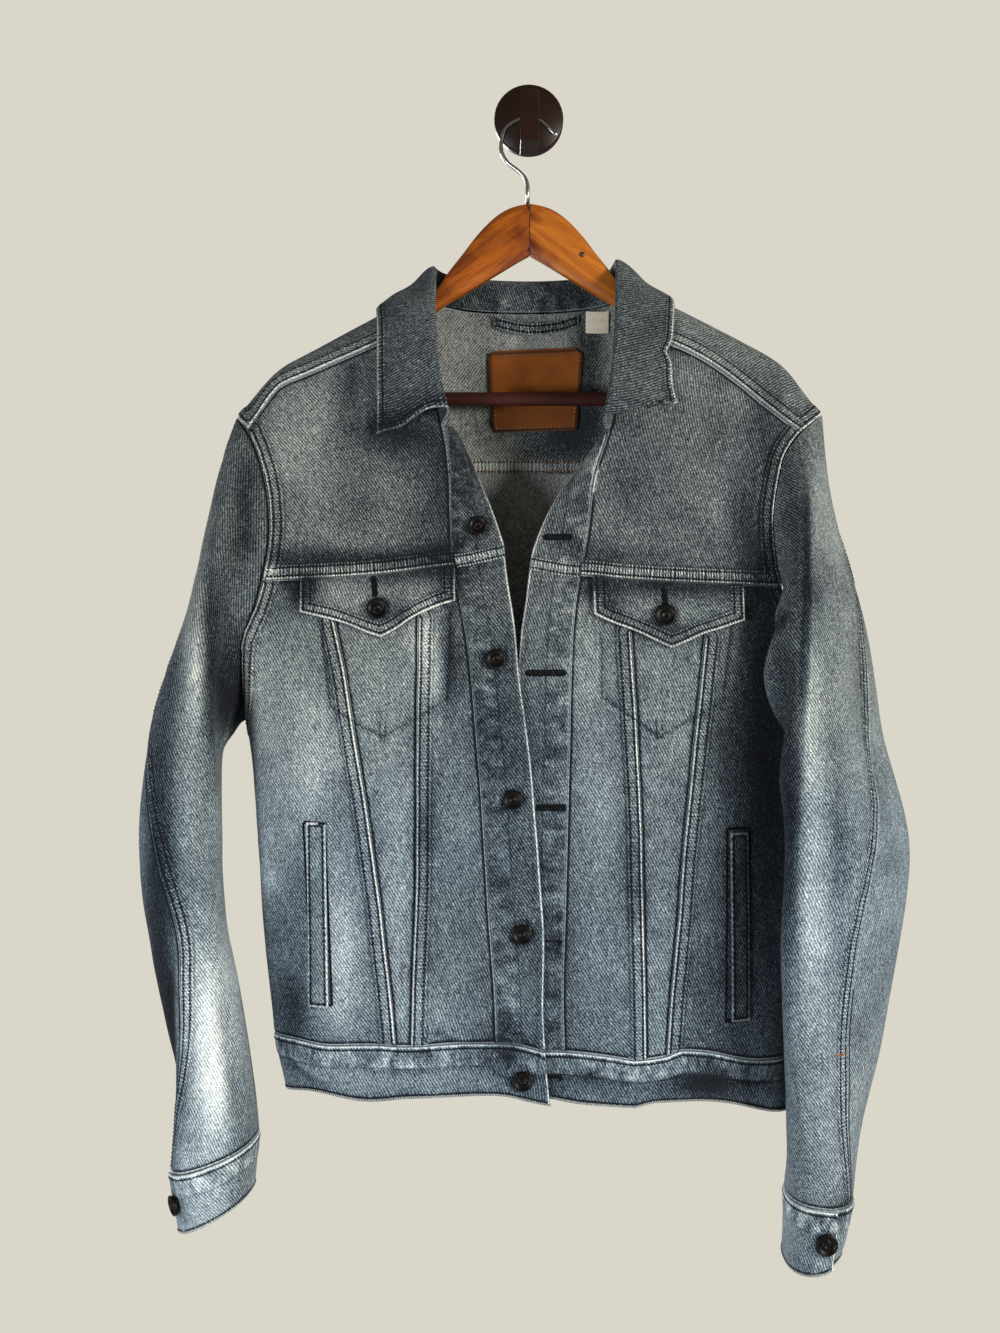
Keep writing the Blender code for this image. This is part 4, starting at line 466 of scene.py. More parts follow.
def mark_sides(shape, outward, corner):
    """Gives each face of a closed wall its side: the cloth's face, its reverse, or the folded rim."""
    left, sheets = set(shape.faces), []
    sharp = {e for e in shape.edges if e.calc_face_angle(0) > math.radians(corner)}
    while left:
        sheet = [left.pop()]
        for face in sheet:
            for edge in face.edges:
                if edge not in sharp:
                    for other in edge.link_faces:
                        if other in left:
                            left.discard(other)
                            sheet.append(other)
        sheets.append(sheet)
    sheets.sort(key=lambda faces: -sum(f.calc_area() for f in faces))
    facing = []
    for sheet in sheets[:2]:
        ways = outward(np.array([f.calc_center_median() for f in sheet]))
        facing.append(sum(f.calc_area() * f.normal.dot(Vector(way)) for f, way in zip(sheet, ways)))
    if facing[0] < facing[1]:
        sheets[0], sheets[1] = sheets[1], sheets[0]
    for face in shape.faces:
        face.material_index = RIM
    for side in (FACE, REVERSE):
        for face in sheets[side]:
            face.material_index = side


def lay_flat(piece):
    """Unwraps each side of the cloth in real metres, with its second axis up the cloth."""
    mesh = piece.data
    bpy.context.view_layer.objects.active = piece
    piece.select_set(True)
    bpy.ops.object.mode_set(mode="EDIT")
    bpy.ops.mesh.select_all(action="SELECT")
    bpy.ops.uv.unwrap(method="MINIMUM_STRETCH", iterations=4)
    bpy.ops.object.mode_set(mode="OBJECT")
    piece.select_set(False)
    layer = mesh.uv_layers.active
    layer.name = "cloth"
    place = np.empty(2 * len(mesh.loops))
    layer.uv.foreach_get("vector", place)
    place = place.reshape(-1, 2)
    up = np.empty(3 * len(mesh.vertices))
    mesh.vertices.foreach_get("co", up)
    up = up.reshape(-1, 3)[:, 2]
    for side in (FACE, REVERSE, RIM):
        loops, flat, real, rise = [], 0.0, 0.0, np.zeros(2)
        for polygon in mesh.polygons:
            if polygon.material_index == side:
                ring = list(polygon.loop_indices)
                here, there = place[ring], place[ring[1:] + ring[:1]]
                flat += abs(np.sum(here[:, 0] * there[:, 1] - there[:, 0] * here[:, 1])) / 2
                real += polygon.area
                height = up[[mesh.loops[i].vertex_index for i in ring]]
                rise += (there - here).T @ (np.roll(height, -1) - height)
                loops += ring
        scale = math.sqrt(real / max(flat, 1e-12))
        rise = rise / max(np.linalg.norm(rise), 1e-12)
        turn = np.array([[rise[1], rise[0]], [-rise[0], rise[1]]])
        place[loops] = place[loops] @ turn * scale
    layer.uv.foreach_set("vector", place.ravel())


def read(items, field, width):
    """One field of many items as an array: width numbers each, or one whole number."""
    values = np.empty(width * len(items), dtype=np.float64 if width > 1 else np.int64)
    items.foreach_get(field, values)
    return values.reshape(-1, width) if width > 1 else values


def rings(mesh):
    """The edge of the cloth's face, as closed rings of point numbers in order."""
    edge_of = read(mesh.loops, "edge_index", 1)
    loop_side = np.repeat(read(mesh.polygons, "material_index", 1), read(mesh.polygons, "loop_total", 1))
    on = np.zeros((len(mesh.edges), 3), bool)
    on[edge_of, loop_side] = True
    ends = np.empty(2 * len(mesh.edges), dtype=np.int64)
    mesh.edges.foreach_get("vertices", ends)
    border = ends.reshape(-1, 2)[on[:, FACE] & on[:, RIM]]
    beside = {}
    for a, b in border.tolist():
        beside.setdefault(a, []).append(b)
        beside.setdefault(b, []).append(a)
    found, seen_points = [], set()
    for start in beside:
        if start in seen_points:
            continue
        ring = [start]
        seen_points.add(start)
        while True:
            onward = [p for p in beside[ring[-1]] if p not in seen_points]
            if not onward:
                break
            ring.append(onward[0])
            seen_points.add(onward[0])
        if len(ring) > 8:
            found.append(ring)
    return found


cloths = {}
PLAIN_FADE = 0.42
FADE = {  # how far the wash has faded each kind of panel: 0 raw indigo, 1 worn through
    "front_yoke": 0.37,
    "back_yoke": 0.40,
    "collar": 0.30,
    "pocket_flap": 0.45,
    "placket": 0.36,
    "waistband": 0.45,
    "wedge_front": 0.46,
    "centre_front": 0.41,
    "side_front": 0.42,
    "back_panel": 0.44,
    "cuff": 0.52,
    "neck_patch": 0.8,
    "locker_loop": 0.34,
}


def family(node):
    return node.removesuffix("_right").removesuffix("_left")


FOLD_TIGHTNESS = 0.45  # of a panel's folded edge: 0 is a round roll, 1 a knife edge
CUT_CORNER = 40  # degrees between two lengths of rim, from which a panel's corner stays sharp


def cloth(node, outward, finishes=DENIM, levels=3, corner=52):
    """A sheet of cloth on its CAD wall: finer, its rim rounded, laid flat for the weave.

    corner is the least angle, in degrees, between the cloth's sides and its rim."""
    shape = joined(node)
    mark_sides(shape, outward, corner)
    crease = shape.edges.layers.float.new("crease_edge")
    corner_crease = shape.verts.layers.float.new("crease_vert")
    for edge in shape.edges:
        sides = [f.material_index for f in edge.link_faces]
        edge.seam = sides[0] != sides[1]
        edge[crease] = FOLD_TIGHTNESS if edge.seam else 0.0
        if sides == [RIM, RIM] and edge.calc_face_angle(0) > math.radians(CUT_CORNER):
            edge[crease] = 1.0
            for end in edge.verts:
                end[corner_crease] = 1.0
    mesh = bpy.data.meshes.new(f"cloth_{node}")
    shape.to_mesh(mesh)
    shape.free()
    for finish in finishes:
        mesh.materials.append(finish)
    piece = link(f"cloth_{node}", mesh)
    lay_flat(piece)
    finer = piece.modifiers.new("finer", "SUBSURF")
    finer.levels = finer.render_levels = levels
    deps = bpy.context.evaluated_depsgraph_get()
    fine = bpy.data.meshes.new_from_object(piece.evaluated_get(deps), preserve_all_data_layers=True,
                                           depsgraph=deps)
    piece.modifiers.clear()
    piece.data = fine
    bpy.data.meshes.remove(mesh)
    fine.name = piece.name
    points = read(fine.vertices, "co", 3)
    fine.polygons.foreach_set("use_smooth", [True] * len(fine.polygons))
    normals = read(fine.vertices, "normal", 3)
    sides = read(fine.polygons, "material_index", 1)
    loop_side = np.repeat(sides, read(fine.polygons, "loop_total", 1))
    count = len(points)
    on = np.zeros((count, 3), bool)
    on[read(fine.loops, "vertex_index", 1), loop_side] = True
    cloths[node] = {
        "piece": piece,
        "points": points,
        "normals": normals,
        "on": on,  # whether each point is on the face, the reverse and the rim
        "out": outward(points),
        "rings": rings(fine),
        "wear": np.full(count, FADE.get(family(node), PLAIN_FADE)),
        "rise": np.zeros(count),
        "ribs": np.zeros(count),
        "seam": np.tile((FAR_OFF, 0.0, 0.0), (count, 1)),  # mm from the edge, puckers run along it, whitening (below 0: a painted shadow line)
        "rows": np.tile((NO_ROW, NO_ROW, 0.0), (count, 1)),  # mm of two rows and the band's width
    }


def level(ways):
    """Level directions of length one."""
    ways[:, 2] = 0.0
    return ways / np.maximum(np.linalg.norm(ways, axis=1), 1e-9)[:, None]


def around(x_share, y):
    """Directions away from a vertical line inside the garment, for telling a wall's face from its reverse."""
    return lambda points: level((points - (0, y, 0)) * (1 - x_share, 1, 1))


def forward(points):
    """Straight out of the wall, for all that lies flat on a panel."""
    return np.tile((0.0, -1.0, 0.0), (len(points), 1))


SIDES = ("right", "left")
TRUNK = around(0.6, -0.05)
for side in SIDES:
    for panel in ("front_yoke", "centre_front", "wedge_front", "side_front", "placket"):
        cloth(f"{panel}_{side}", TRUNK)
    for panel in ("pocket_flap", "pocket_welt"):
        cloth(f"{panel}_{side}", forward)
cloth("back_panel", TRUNK, levels=2)
cloth("back_yoke", TRUNK, levels=2)
cloth("waistband", TRUNK)
cloth("collar", around(0.0, -0.045), finishes=(denim_face, denim_face, denim_rim), corner=76)


def sleeve_way(side):
    """Directions away from the middle of a sleeve."""
    walls = [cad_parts[f"{part}_sleeve_{side}"].data.vertices for part in ("top", "under")]
    points = np.concatenate([read(wall, "co", 3) for wall in walls])
    heights = np.linspace(points[:, 2].min(), points[:, 2].max(), 24)
    middle = []
    for height in heights:
        near = points[np.abs(points[:, 2] - height) < 0.03]
        middle.append((near[:, :2].min(0) + near[:, :2].max(0)) / 2)
    middle = np.array(middle)

    def away(points):
        centre = np.zeros((len(points), 3))
        for axis in (0, 1):
            centre[:, axis] = np.interp(points[:, 2], heights, middle[:, axis])
        return level(points - centre)

    return away


for side in SIDES:
    away = sleeve_way(side)
    cloth(f"top_sleeve_{side}", away, corner=38)
    cloth(f"under_sleeve_{side}", away, levels=2)
    cloth(f"cuff_{side}", away)


def patch_leather():
    """Unprinted tan-brown leather: fine grain, darker and drier towards its rubbed edges."""
    made = material("tan_leather")
    tree = made[1]
    place = add(tree, "ShaderNodeUVMap", uv_map="cloth").outputs[0]
    wear = add(tree, "ShaderNodeAttribute", attribute_name="wear").outputs["Fac"]
    cells = add(tree, "ShaderNodeTexVoronoi", {"Vector": place, "Scale": 900.0})
    tone = mottled(tree, place, 55.0, 5.0, "#6E3508", "#A45C16")[1]
    rubbed = add(tree, "ShaderNodeMix", {"Factor": wear, 6: linear("#341C0E"), 7: tone}, data_type="RGBA")
    looks = {"Base Color": rubbed.outputs[2], "Roughness": 0.62, "Specular IOR Level": 0.25}
    return surfaced(made, looks, cells.outputs[0], 0.5, 0.2 * MM)


def label_satin():
    """Woven satin ribbon, cream: fine ribs across and a soft gloss."""
    made = material("cream_satin")
    tree = made[1]
    place = add(tree, "ShaderNodeUVMap", uv_map="cloth").outputs[0]
    ribs = add(tree, "ShaderNodeTexWave", {"Vector": place, "Scale": 450.0, "Distortion": 1.0})
    tone = mottled(tree, place, 260.0, 3.0, "#B9AF98", "#DCD5C3")[1]
    looks = {"Base Color": tone, "Roughness": 0.42, "Sheen Weight": 0.2}
    return surfaced(made, looks, ribs.outputs[1], 0.3, 0.1 * MM)


leather, satin = patch_leather(), label_satin()
cloth("locker_loop", forward)
cloth("neck_patch", forward, finishes=(leather, leather, leather))
cloth("care_label", forward, finishes=(satin, satin, satin))


# ---------------------------------------------------------------- seams
# Flat-felled seams: the upper panel's folded edge lies on the lower panel under two rows of topstitching.
# The stitching draws the cloth up into short ribs, and the wash whitens the folded edge and the ribs.
SEAM_PARTS = ("width", "lift", "rows", "white", "ribs", "pitch", "pull")
SEAMS = {  # band's width and lift, rows of stitching, edge's whitening (below zero, a painted shadow line), puckers and their pitch, pull; in mm
    "yoke": (10.2, 0.8, (1.9, 8.4), 0.44, 0.55, 2.4, 0.09),
    "felled": (10.2, 0.8, (1.9, 8.4), 0.56, 0.17, 2.6, 0.07),
    "armhole": (10.2, 0.8, (2.4, 8.2), 0.62, 0.2, 2.4, 0.09),
    "sleeve": (8.6, 0.6, (1.8, 6.8), 0.12, 0.26, 2.6, 0.06),
    # the edge of a panel that runs under another: no band, only a painted shadow line in the gap
    "under": (0.0, 0.0, (), -0.85, 0.0, 8.0, 0.09),
    "ridge": (17.0, 0.25, (), 0.08, 0.34, 8.0, 0.04),
    "band": (15.0, 0.5, (2.6,), 0.62, 0.42, 6.5, 0.06),
    "hem": (2.4, 0.2, (2.2,), 0.1, 0.0, 6.0, 0.05),
    "fold": (3.0, 0.3, (), 0.7, 0.0, 9.0, 0.05),
    "collar": (6.0, 0.35, (4.2,), 0.62, 0.3, 3.0, 0.07),
    "flap": (9.6, 0.5, (2.4, 7.9), 0.66, 0.3, 2.4, 0.05),
    "welt": (2.8, 0.3, (2.1,), 0.4, 0.2, 5.0, 0.04),
    "plain": (0.0, 0.0, (), 0.0, 0.0, 8.0, 0.0),
    "bound": (3.0, 0.1, (2.4,), -0.1, 0.0, 8.0, 0.0),
    "loop": (3.4, 0.3, (1.8,), 0.1, 0.4, 3.0, 0.0),
}
SEAMS = {kind: dict(zip(SEAM_PARTS, values)) for kind, values in SEAMS.items()}
PALE = {"yoke": 0.1, "felled": 0.03, "band": 0.04, "flap": 0.03}  # how much paler the band is than its panel
LIES_ON = {  # the upper panel, and the panels that its folded edge lies on
    "front_yoke": ("centre_front", "wedge_front", "side_front", "pocket_flap", "top_sleeve", "under_sleeve"),
    "side_front": ("wedge_front", "top_sleeve", "under_sleeve"),
    "centre_front": ("wedge_front",),
    "back_yoke": ("front_yoke", "back_panel", "top_sleeve", "under_sleeve"),
    "back_panel": ("side_front", "top_sleeve", "under_sleeve"),
    "top_sleeve": ("under_sleeve",),
}
NEAR = 2.6 * MM  # panels whose solids come this close are sewn together
PULL_REACH = 22  # mm beyond its band over which a seam draws up the cloth


def seam_kind(node, other, across, top):
    """What kind of edge a panel has where it meets another, or none.

    across: the edge runs across the body. top: it is at the panel's upper end."""
    own, other = family(node), family(other) if other else None
    if own in ("pocket_flap", "pocket_welt", "collar"):
        if own == "pocket_flap" and top and across:
            return "plain"
        if own == "collar":
            return "plain" if other else "collar"
        return own.removeprefix("pocket_")
    if own in ("neck_patch", "locker_loop"):
        return "loop" if own == "locker_loop" else "bound"
    if own == "care_label":
        return "plain"
    if own == "placket":
        return {"front_yoke": "ridge", "centre_front": "ridge", "waistband": "under"}.get(other, "fold")
    if own in ("waistband", "cuff"):
        if other and other not in ("cuff", "waistband"):
            return "band"
        return "hem" if across else "fold"
    if other in LIES_ON.get(own, ()):
        if other in ("top_sleeve", "under_sleeve"):
            return "sleeve" if own == "top_sleeve" else "armhole"
        return "yoke" if own == "front_yoke" else "felled"
    return "under" if other else "fold"


def smooth(low, high, values):
    """0 up to low, 1 from high on, and a soft step between."""
    part = np.clip((values - low) / (high - low), 0, 1)
    return part * part * (3 - 2 * part)


trees, boxes = {}, {}
for node in cloths:
    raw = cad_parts[node].data
    polygons = [list(p.vertices) for p in raw.polygons]
    trees[node] = BVHTree.FromPolygons([v.co for v in raw.vertices], polygons)
    low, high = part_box(node)
    boxes[node] = (np.array(low) - NEAR, np.array(high) + NEAR)


def edge_runs(node, made):
    """The edge of a panel's face, cut into runs that each have one kind of seam: (kind, point numbers)."""
    found = []
    for ring in made["rings"]:
        kinds = []
        spots = made["points"][ring]
        for i, spot in enumerate(spots):
            best, other = NEAR, None
            for name, tree in trees.items():
                if name != node and np.all(spot > boxes[name][0]) and np.all(spot < boxes[name][1]):
                    near = tree.find_nearest(spot, best)
                    if near[0] is not None and near[3] < best:
                        best, other = near[3], name
            step = spots[(i + 3) % len(spots)] - spots[i - 3]
            top = spot[2] > (boxes[node][0][2] + boxes[node][1][2]) / 2
            kinds.append(seam_kind(node, other, abs(step[2]) < 0.7 * np.linalg.norm(step), top))
        starts = [i for i in range(len(ring)) if kinds[i] != kinds[i - 1]] or [0]
        for a, b in zip(starts, starts[1:] + [starts[0] + len(ring)]):
            if b - a > 3:
                run = range(a, min(b + 1, a + len(ring)))
                found.append((kinds[a], [ring[i % len(ring)] for i in run]))
    return found


def search_tree(line):
    tree = KDTree(len(line))
    for i, spot in enumerate(line):
        tree.insert(spot, i)
    tree.balance()
    return tree


def from_run(points, line, reach):
    """Which points lie within reach of a line, how far they are from it and how far along it, in mm."""
    low, high = line.min(0) - reach * MM, line.max(0) + reach * MM
    near = np.nonzero(np.all((points > low) & (points < high), axis=1))[0]
    if not len(near):
        return near, np.zeros(0), np.zeros(0)
    steps = np.linalg.norm(np.diff(line, axis=0), axis=1)
    along = np.concatenate([[0.0], np.cumsum(steps)])
    tree = search_tree(line)
    nearest = np.array([tree.find(points[i])[1] for i in near])
    best, run = np.full(len(near), 1e9), np.zeros(len(near))
    for first in (np.maximum(nearest - 1, 0), np.minimum(nearest, len(line) - 2)):
        a, b = line[first], line[first + 1]
        way = b - a
        length = np.maximum(np.sum(way * way, axis=1), 1e-14)
        share = np.clip(np.sum((points[near] - a) * way, axis=1) / length, 0, 1)
        gap = np.linalg.norm(points[near] - a - way * share[:, None], axis=1)
        better = gap < best
        best = np.where(better, gap, best)
        run = np.where(better, along[first] + share * np.linalg.norm(way, axis=1), run)
    keep = best < reach * MM
    return near[keep], best[keep] / MM, run[keep] / MM


def waver(run, size, seed):
    """Random swing from -1 to 1 along a seam."""
    spots = np.zeros((len(run), 3))
    spots[:, 0] = run * MM
    return clouds(spots, size, seed)


def sew_edge(made, kind, line, seed):
    """Raises, puckers and fades the cloth along one run of a panel's edge."""
    seam = SEAMS[kind]
    width, pull = seam["width"], seam["pull"]
    chosen, gap, run = from_run(made["points"], line, width + PULL_REACH)
    if not len(chosen) or kind == "plain":
        return
    on = made["on"][chosen, FACE]
    chosen, gap, run = chosen[on], gap[on], run[on]

    # what the material draws: the seam whose band is nearest has the say
    nearer = gap - width < made["seam"][chosen, 0] - made["rows"][chosen, 2]
    own, rows = chosen[nearer], (seam["rows"] + (NO_ROW, NO_ROW))[:2]
    uneven = 0.72 + 0.2 * waver(run, 9, seed + 3) + 0.16 * waver(run, 37, seed + 5)
    made["seam"][own] = np.stack([gap, run / seam["pitch"] + seed, seam["white"] * uneven], axis=1)[nearer]
    made["rows"][own] = (*rows, width)
    made["ribs"][own] = seam["ribs"]

    # what is modelled: the raised band, its puckers, the sunk edge and the pulls in the cloth beyond
    band = 1 - smooth(width - 0.8, width + 1.0, gap) if width else np.zeros(len(gap))
    turns = run / seam["pitch"] / 1.6 + 0.4 * gap / max(width, 4)
    ribs = np.sin(2 * math.pi * turns + 2.2 * waver(run, 14, seed))
    ribs = ribs * (0.55 + 0.45 * waver(run, 31, seed + 2)) * band
    beyond = np.exp(-np.maximum(gap - width, 0) / 6.0) * (gap > width)
    pulls = waver(run + 1.2 * gap, 8, seed + 4) * beyond
    sunk = np.exp(-((gap / 0.8) ** 2))
    made["wear"][chosen] += pull * pulls - 0.7 * pull * beyond + PALE.get(kind, 0.0) * band
    made["rise"][chosen] += seam["lift"] * band + 0.2 * ribs * (seam["ribs"] > 0) - 0.3 * sunk
    made["rise"][chosen] += 5.0 * pull * pulls


for number, (node, made) in enumerate(cloths.items()):
    made["runs"] = edge_runs(node, made)
    for kind, ring in made["runs"]:
        sew_edge(made, kind, made["points"][ring], number * 7 + len(ring))


# ---------------------------------------------------------------- wash, painted shade and creases
# The wash left the chest and sides pale and the placket, the seams and the cloth round each button dark.
# The same tables hold painted shade under the collar and the flaps' tips, beside the armholes, down the left
# side, in the armpits and inside the back neck, and a painted highlight down the right sleeve's outer edge.
# Pocket bags are stitched on from behind, so their outline shows as a fine valley, its bottom darkened as
# painted shade.
WASH_AND_SHADING = (  # soft hills of wear and of painted shade on the trunk's front: centre x and z, half width and half height in mm, wear
    # yokes, right then left, with painted shade under the right collar and beside the left armhole
    (-198, -274, 22, 60, 0.18), (-170, -285, 16, 80, 0.09), (-143, -229, 10, 27, -0.18),
    (-136, -214, 10, 20, -0.09), (-132, -326, 54, 46, 0.03), (-108, -267, 32, 16, -0.22),
    (-104, -278, 27, 18, -0.1), (-104, -274, 24, 16, -0.15), (-75, -300, 22, 66, -0.13),
    (-66, -360, 27, 12, -0.15), (-55, -310, 14, 48, -0.16), (30, -319, 14, 23, 0.04),
    (34, -361, 15, 9, -0.12), (48, -286, 14, 27, 0.1), (52, -306, 8, 22, 0.12), (75, -300, 22, 60, -0.08),
    (98, -190, 13, 19, -0.1), (146, -266, 12, 29, -0.1), (148, -334, 11, 16, 0.1),
    (170, -346, 14, 48, -0.2), (188, -266, 16, 35, -0.2), (191, -314, 7, 32, -0.12),
    # the yoke seam and the flaps, with painted shade under the flaps' tips
    (-210, -390, 7, 11, 0.16), (-204, -381, 8, 5, 0.3), (-181, -394, 16, 13, -0.26),
    (-179, -367, 35, 8, -0.12), (-176, -402, 10, 14, -0.18), (-172, -389, 10, 12, -0.22),
    (-144, -370, 48, 6, -0.12), (-108, -389, 48, 6, -0.1), (-104, -376, 84, 6, -0.1),
    (-104, -372, 76, 6, -0.14), (-101, -412, 8, 10, -0.12), (-94, -419, 8, 8, -0.12),
    (-72, -375, 24, 10, -0.18), (-72, -367, 24, 6, -0.14), (-63, -396, 10, 18, -0.2),
    (-42, -392, 16, 20, -0.1), (31, -408, 9, 16, 0.14), (42, -373, 19, 10, -0.10), (48, -394, 10, 10, -0.2),
    (61, -412, 8, 10, -0.16), (63, -407, 11, 13, -0.14), (73, -419, 8, 8, -0.12), (80, -370, 40, 6, -0.12),
    (95, -429, 18, 10, -0.1), (100, -391, 13, 6, -0.16), (109, -396, 74, 10, -0.26),
    (113, -428, 39, 11, -0.09),
    # chest, with painted shade down the left side, where the left sleeve shades it
    (-223, -450, 18, 53, 0.13), (-212, -483, 13, 61, 0.1), (-185, -519, 16, 24, -0.09),
    (-176, -528, 28, 66, 0.22), (-117, -474, 31, 46, 0.10), (-84, -447, 14, 35, 0.17),
    (-84, -434, 10, 21, 0.15), (-75, -442, 7, 40, 0.12), (-73, -461, 8, 34, 0.12),
    (-63, -474, 7, 32, -0.08), (-63, -450, 8, 48, -0.1), (-63, -438, 10, 24, -0.11),
    (-24, -505, 17, 95, -0.10), (8, -500, 16, 60, -0.07), (36, -466, 21, 32, 0.06),
    (114, -516, 22, 24, 0.08), (173, -466, 12, 120, -0.15), (186, -531, 16, 161, -0.22),
    (190, -450, 10, 40, -0.18), (217, -483, 32, 161, -0.1),
    # waist, with painted shade down the left side, where the left sleeve shades it
    (-210, -619, 12, 35, 0.17), (-202, -617, 16, 22, 0.12), (-198, -637, 17, 70, -0.02),
    (-148, -679, 21, 76, 0.19), (-144, -683, 10, 61, 0.1), (-101, -637, 16, 93, 0.10),
    (-100, -619, 11, 48, 0.06), (-82, -580, 10, 22, -0.11), (-80, -587, 10, 32, -0.09),
    (-55, -683, 23, 62, 0.04), (-51, -655, 13, 31, -0.06), (-9, -621, 14, 56, -0.06),
    (12, -667, 19, 45, 0.08), (16, -660, 16, 80, -0.16), (21, -635, 10, 24, 0.08), (54, -544, 17, 85, 0.10),
    (76, -615, 14, 35, -0.12), (85, -631, 8, 22, -0.12), (110, -610, 14, 110, -0.05),
    (141, -603, 13, 31, -0.07), (172, -600, 28, 150, -0.22),
    # above the waistband, and the waistband
    (-197, -732, 16, 35, -0.14), (-191, -702, 23, 31, -0.06), (-185, -765, 12, 10, -0.12),
    (-185, -715, 10, 27, -0.16), (-177, -722, 9, 20, -0.14), (-165, -788, 14, 7, -0.1),
    (-165, -786, 11, 6, -0.14), (-157, -794, 10, 6, -0.12), (-110, -775, 80, 14, 0.10),
    (-101, -781, 31, 8, -0.10), (-88, -740, 27, 29, 0.14), (-82, -703, 11, 18, 0.08),
    (-40, -783, 13, 10, -0.14), (-40, -691, 11, 24, -0.09), (-29, -749, 19, 22, -0.24),
    (-18, -743, 10, 21, -0.18), (20, -768, 14, 14, -0.12), (42, -768, 8, 6, -0.14), (43, -765, 8, 6, -0.18),
    (110, -775, 80, 14, -0.12), (129, -699, 10, 39, -0.1), (136, -774, 26, 9, -0.33),
    (137, -773, 18, 13, -0.16), (143, -703, 19, 50, -0.2),
    (154, -786, 16, 8, -0.14), (167, -795, 14, 6, -0.1),
)
SLEEVE_WASH_AND_SHADING = (  # wear and painted shade on the sleeves and cuffs, except where they face the wall
    # right sleeve and cuff, with painted shade in the armpit and on the sleeve cap's inner face, and a
    # painted highlight down the outer edge
    (-297, -570, 8, 90, 0.08), (-293, -561, 12, 86, -0.08), (-290, -650, 16, 80, -0.12),
    (-287, -726, 12, 68, -0.28), (-279, -623, 12, 197, -0.27), (-276, -780, 10, 60, -0.16),
    (-268, -440, 26, 80, 0.05), (-264, -828, 16, 19, 0.2), (-261, -513, 14, 126, 0.08),
    (-256, -560, 26, 60, 0.01), (-255, -462, 9, 40, 0.24), (-252, -886, 30, 30, 0.16),
    (-252, -722, 30, 90, 0.27), (-244, -482, 6, 22, -0.2), (-244, -443, 9, 68, -0.2),
    (-243, -749, 14, 60, 0.22), (-241, -781, 12, 68, 0.18), (-240, -330, 40, 60, -0.06),
    (-236, -792, 10, 40, 0.08), (-236, -492, 8, 22, -0.14), (-228, -482, 14, 50, -0.5),
    (-225, -340, 8, 38, -0.12), (-224, -325, 9, 46, -0.16),
    # left sleeve and cuff, with painted shade in the armpit and on the sleeve cap's inner face
    (191, -461, 9, 42, -0.14), (192, -560, 12, 90, -0.4), (202, -639, 6, 47, 0.14),
    (205, -330, 12, 60, -0.12), (206, -517, 9, 47, 0.16), (208, -623, 12, 86, 0.27),
    (208, -329, 14, 86, -0.14), (214, -471, 8, 22, 0.09), (214, -399, 9, 14, -0.14),
    (226, -631, 14, 44, 0.07), (226, -592, 8, 79, -0.13), (232, -746, 34, 90, 0.16),
    (238, -866, 16, 8, -0.25), (238, -338, 30, 60, 0.06), (250, -480, 30, 60, 0.02),
    (251, -737, 16, 30, -0.16), (275, -600, 14, 44, -0.06), (282, -650, 24, 60, 0.06),
)
INSIDE_SHADE = (  # painted shade on the reverse, inside the back neck, where the left front shades it
    (-37, -219, 12, 25, -0.14), (-26, -257, 24, 17, -0.1), (-21, -148, 8, 17, -0.2),
    (-9, -169, 27, 10, -0.2), (10, -280, 32, 12, -0.16), (14, -232, 25, 13, -0.14),
    (26, -267, 34, 18, -0.22), (26, -255, 40, 24, -0.3), (39, -255, 20, 32, -0.24),
    (47, -198, 13, 59, -0.28), (52, -190, 11, 47, -0.22), (55, -243, 9, 18, -0.14),
)
POCKET_BAGS = (  # path of x, z in mm; half width and rise in mm; wear: fine valleys, their bottoms darkened as painted shade
    (((-163, -421), (-160, -454), (-155, -487), (-135, -500), (-115, -510), (-89, -496), (-65, -481),
      (-63, -443), (-62, -413)), 1.6, -0.45, -0.16),
    (((55, -435), (55, -479), (76, -494), (99, -510), (123, -497), (148, -483), (153, -443), (157, -421)),
     1.6, -0.45, -0.16),
    (((-117, -499), (-116, -513)), 0.9, -0.3, -0.24),
    (((-112, -499), (-113, -513)), 0.9, -0.3, -0.24),
    (((96, -498), (97, -511)), 0.9, -0.3, -0.24),
    (((101, -498), (101, -511)), 0.9, -0.3, -0.24),
)
HEM_CREASES = (  # above the waistband, most of them a ridge with its trough; the trough's darker wear is painted shade
    (((-81, -724), (-66, -734), (-47, -741), (-28, -742)), 3.0, 0.9, 0.05),
    (((-78, -730), (-62, -739), (-44, -745)), 2.6, -0.9, -0.14),
    (((-77, -709), (-70, -724), (-60, -732)), 2.4, 0.7, 0.06),
    (((-187, -753), (-178, -763), (-166, -770), (-150, -775)), 2.4, 0.9, 0.10),
    (((-190, -757), (-181, -767), (-168, -774), (-152, -779)), 2.2, -0.8, -0.12),
    (((-135, -757), (-119, -761), (-92, -760), (-62, -758), (-39, -756)), 2.0, 0.7, 0.09),
    (((-135, -761), (-119, -765), (-92, -764), (-62, -762), (-39, -760)), 2.0, -0.7, -0.10),
    (((42, -754), (50, -763), (63, -768), (82, -768)), 2.4, 0.9, 0.10),
    (((40, -758), (48, -767), (62, -772), (82, -772)), 2.2, -0.8, -0.10),
    (((90, -766), (121, -764), (144, -767), (176, -772), (192, -774)), 2.0, 0.7, 0.08),
    (((90, -770), (121, -768), (144, -771), (176, -776), (192, -778)), 2.0, -0.7, -0.10),
)
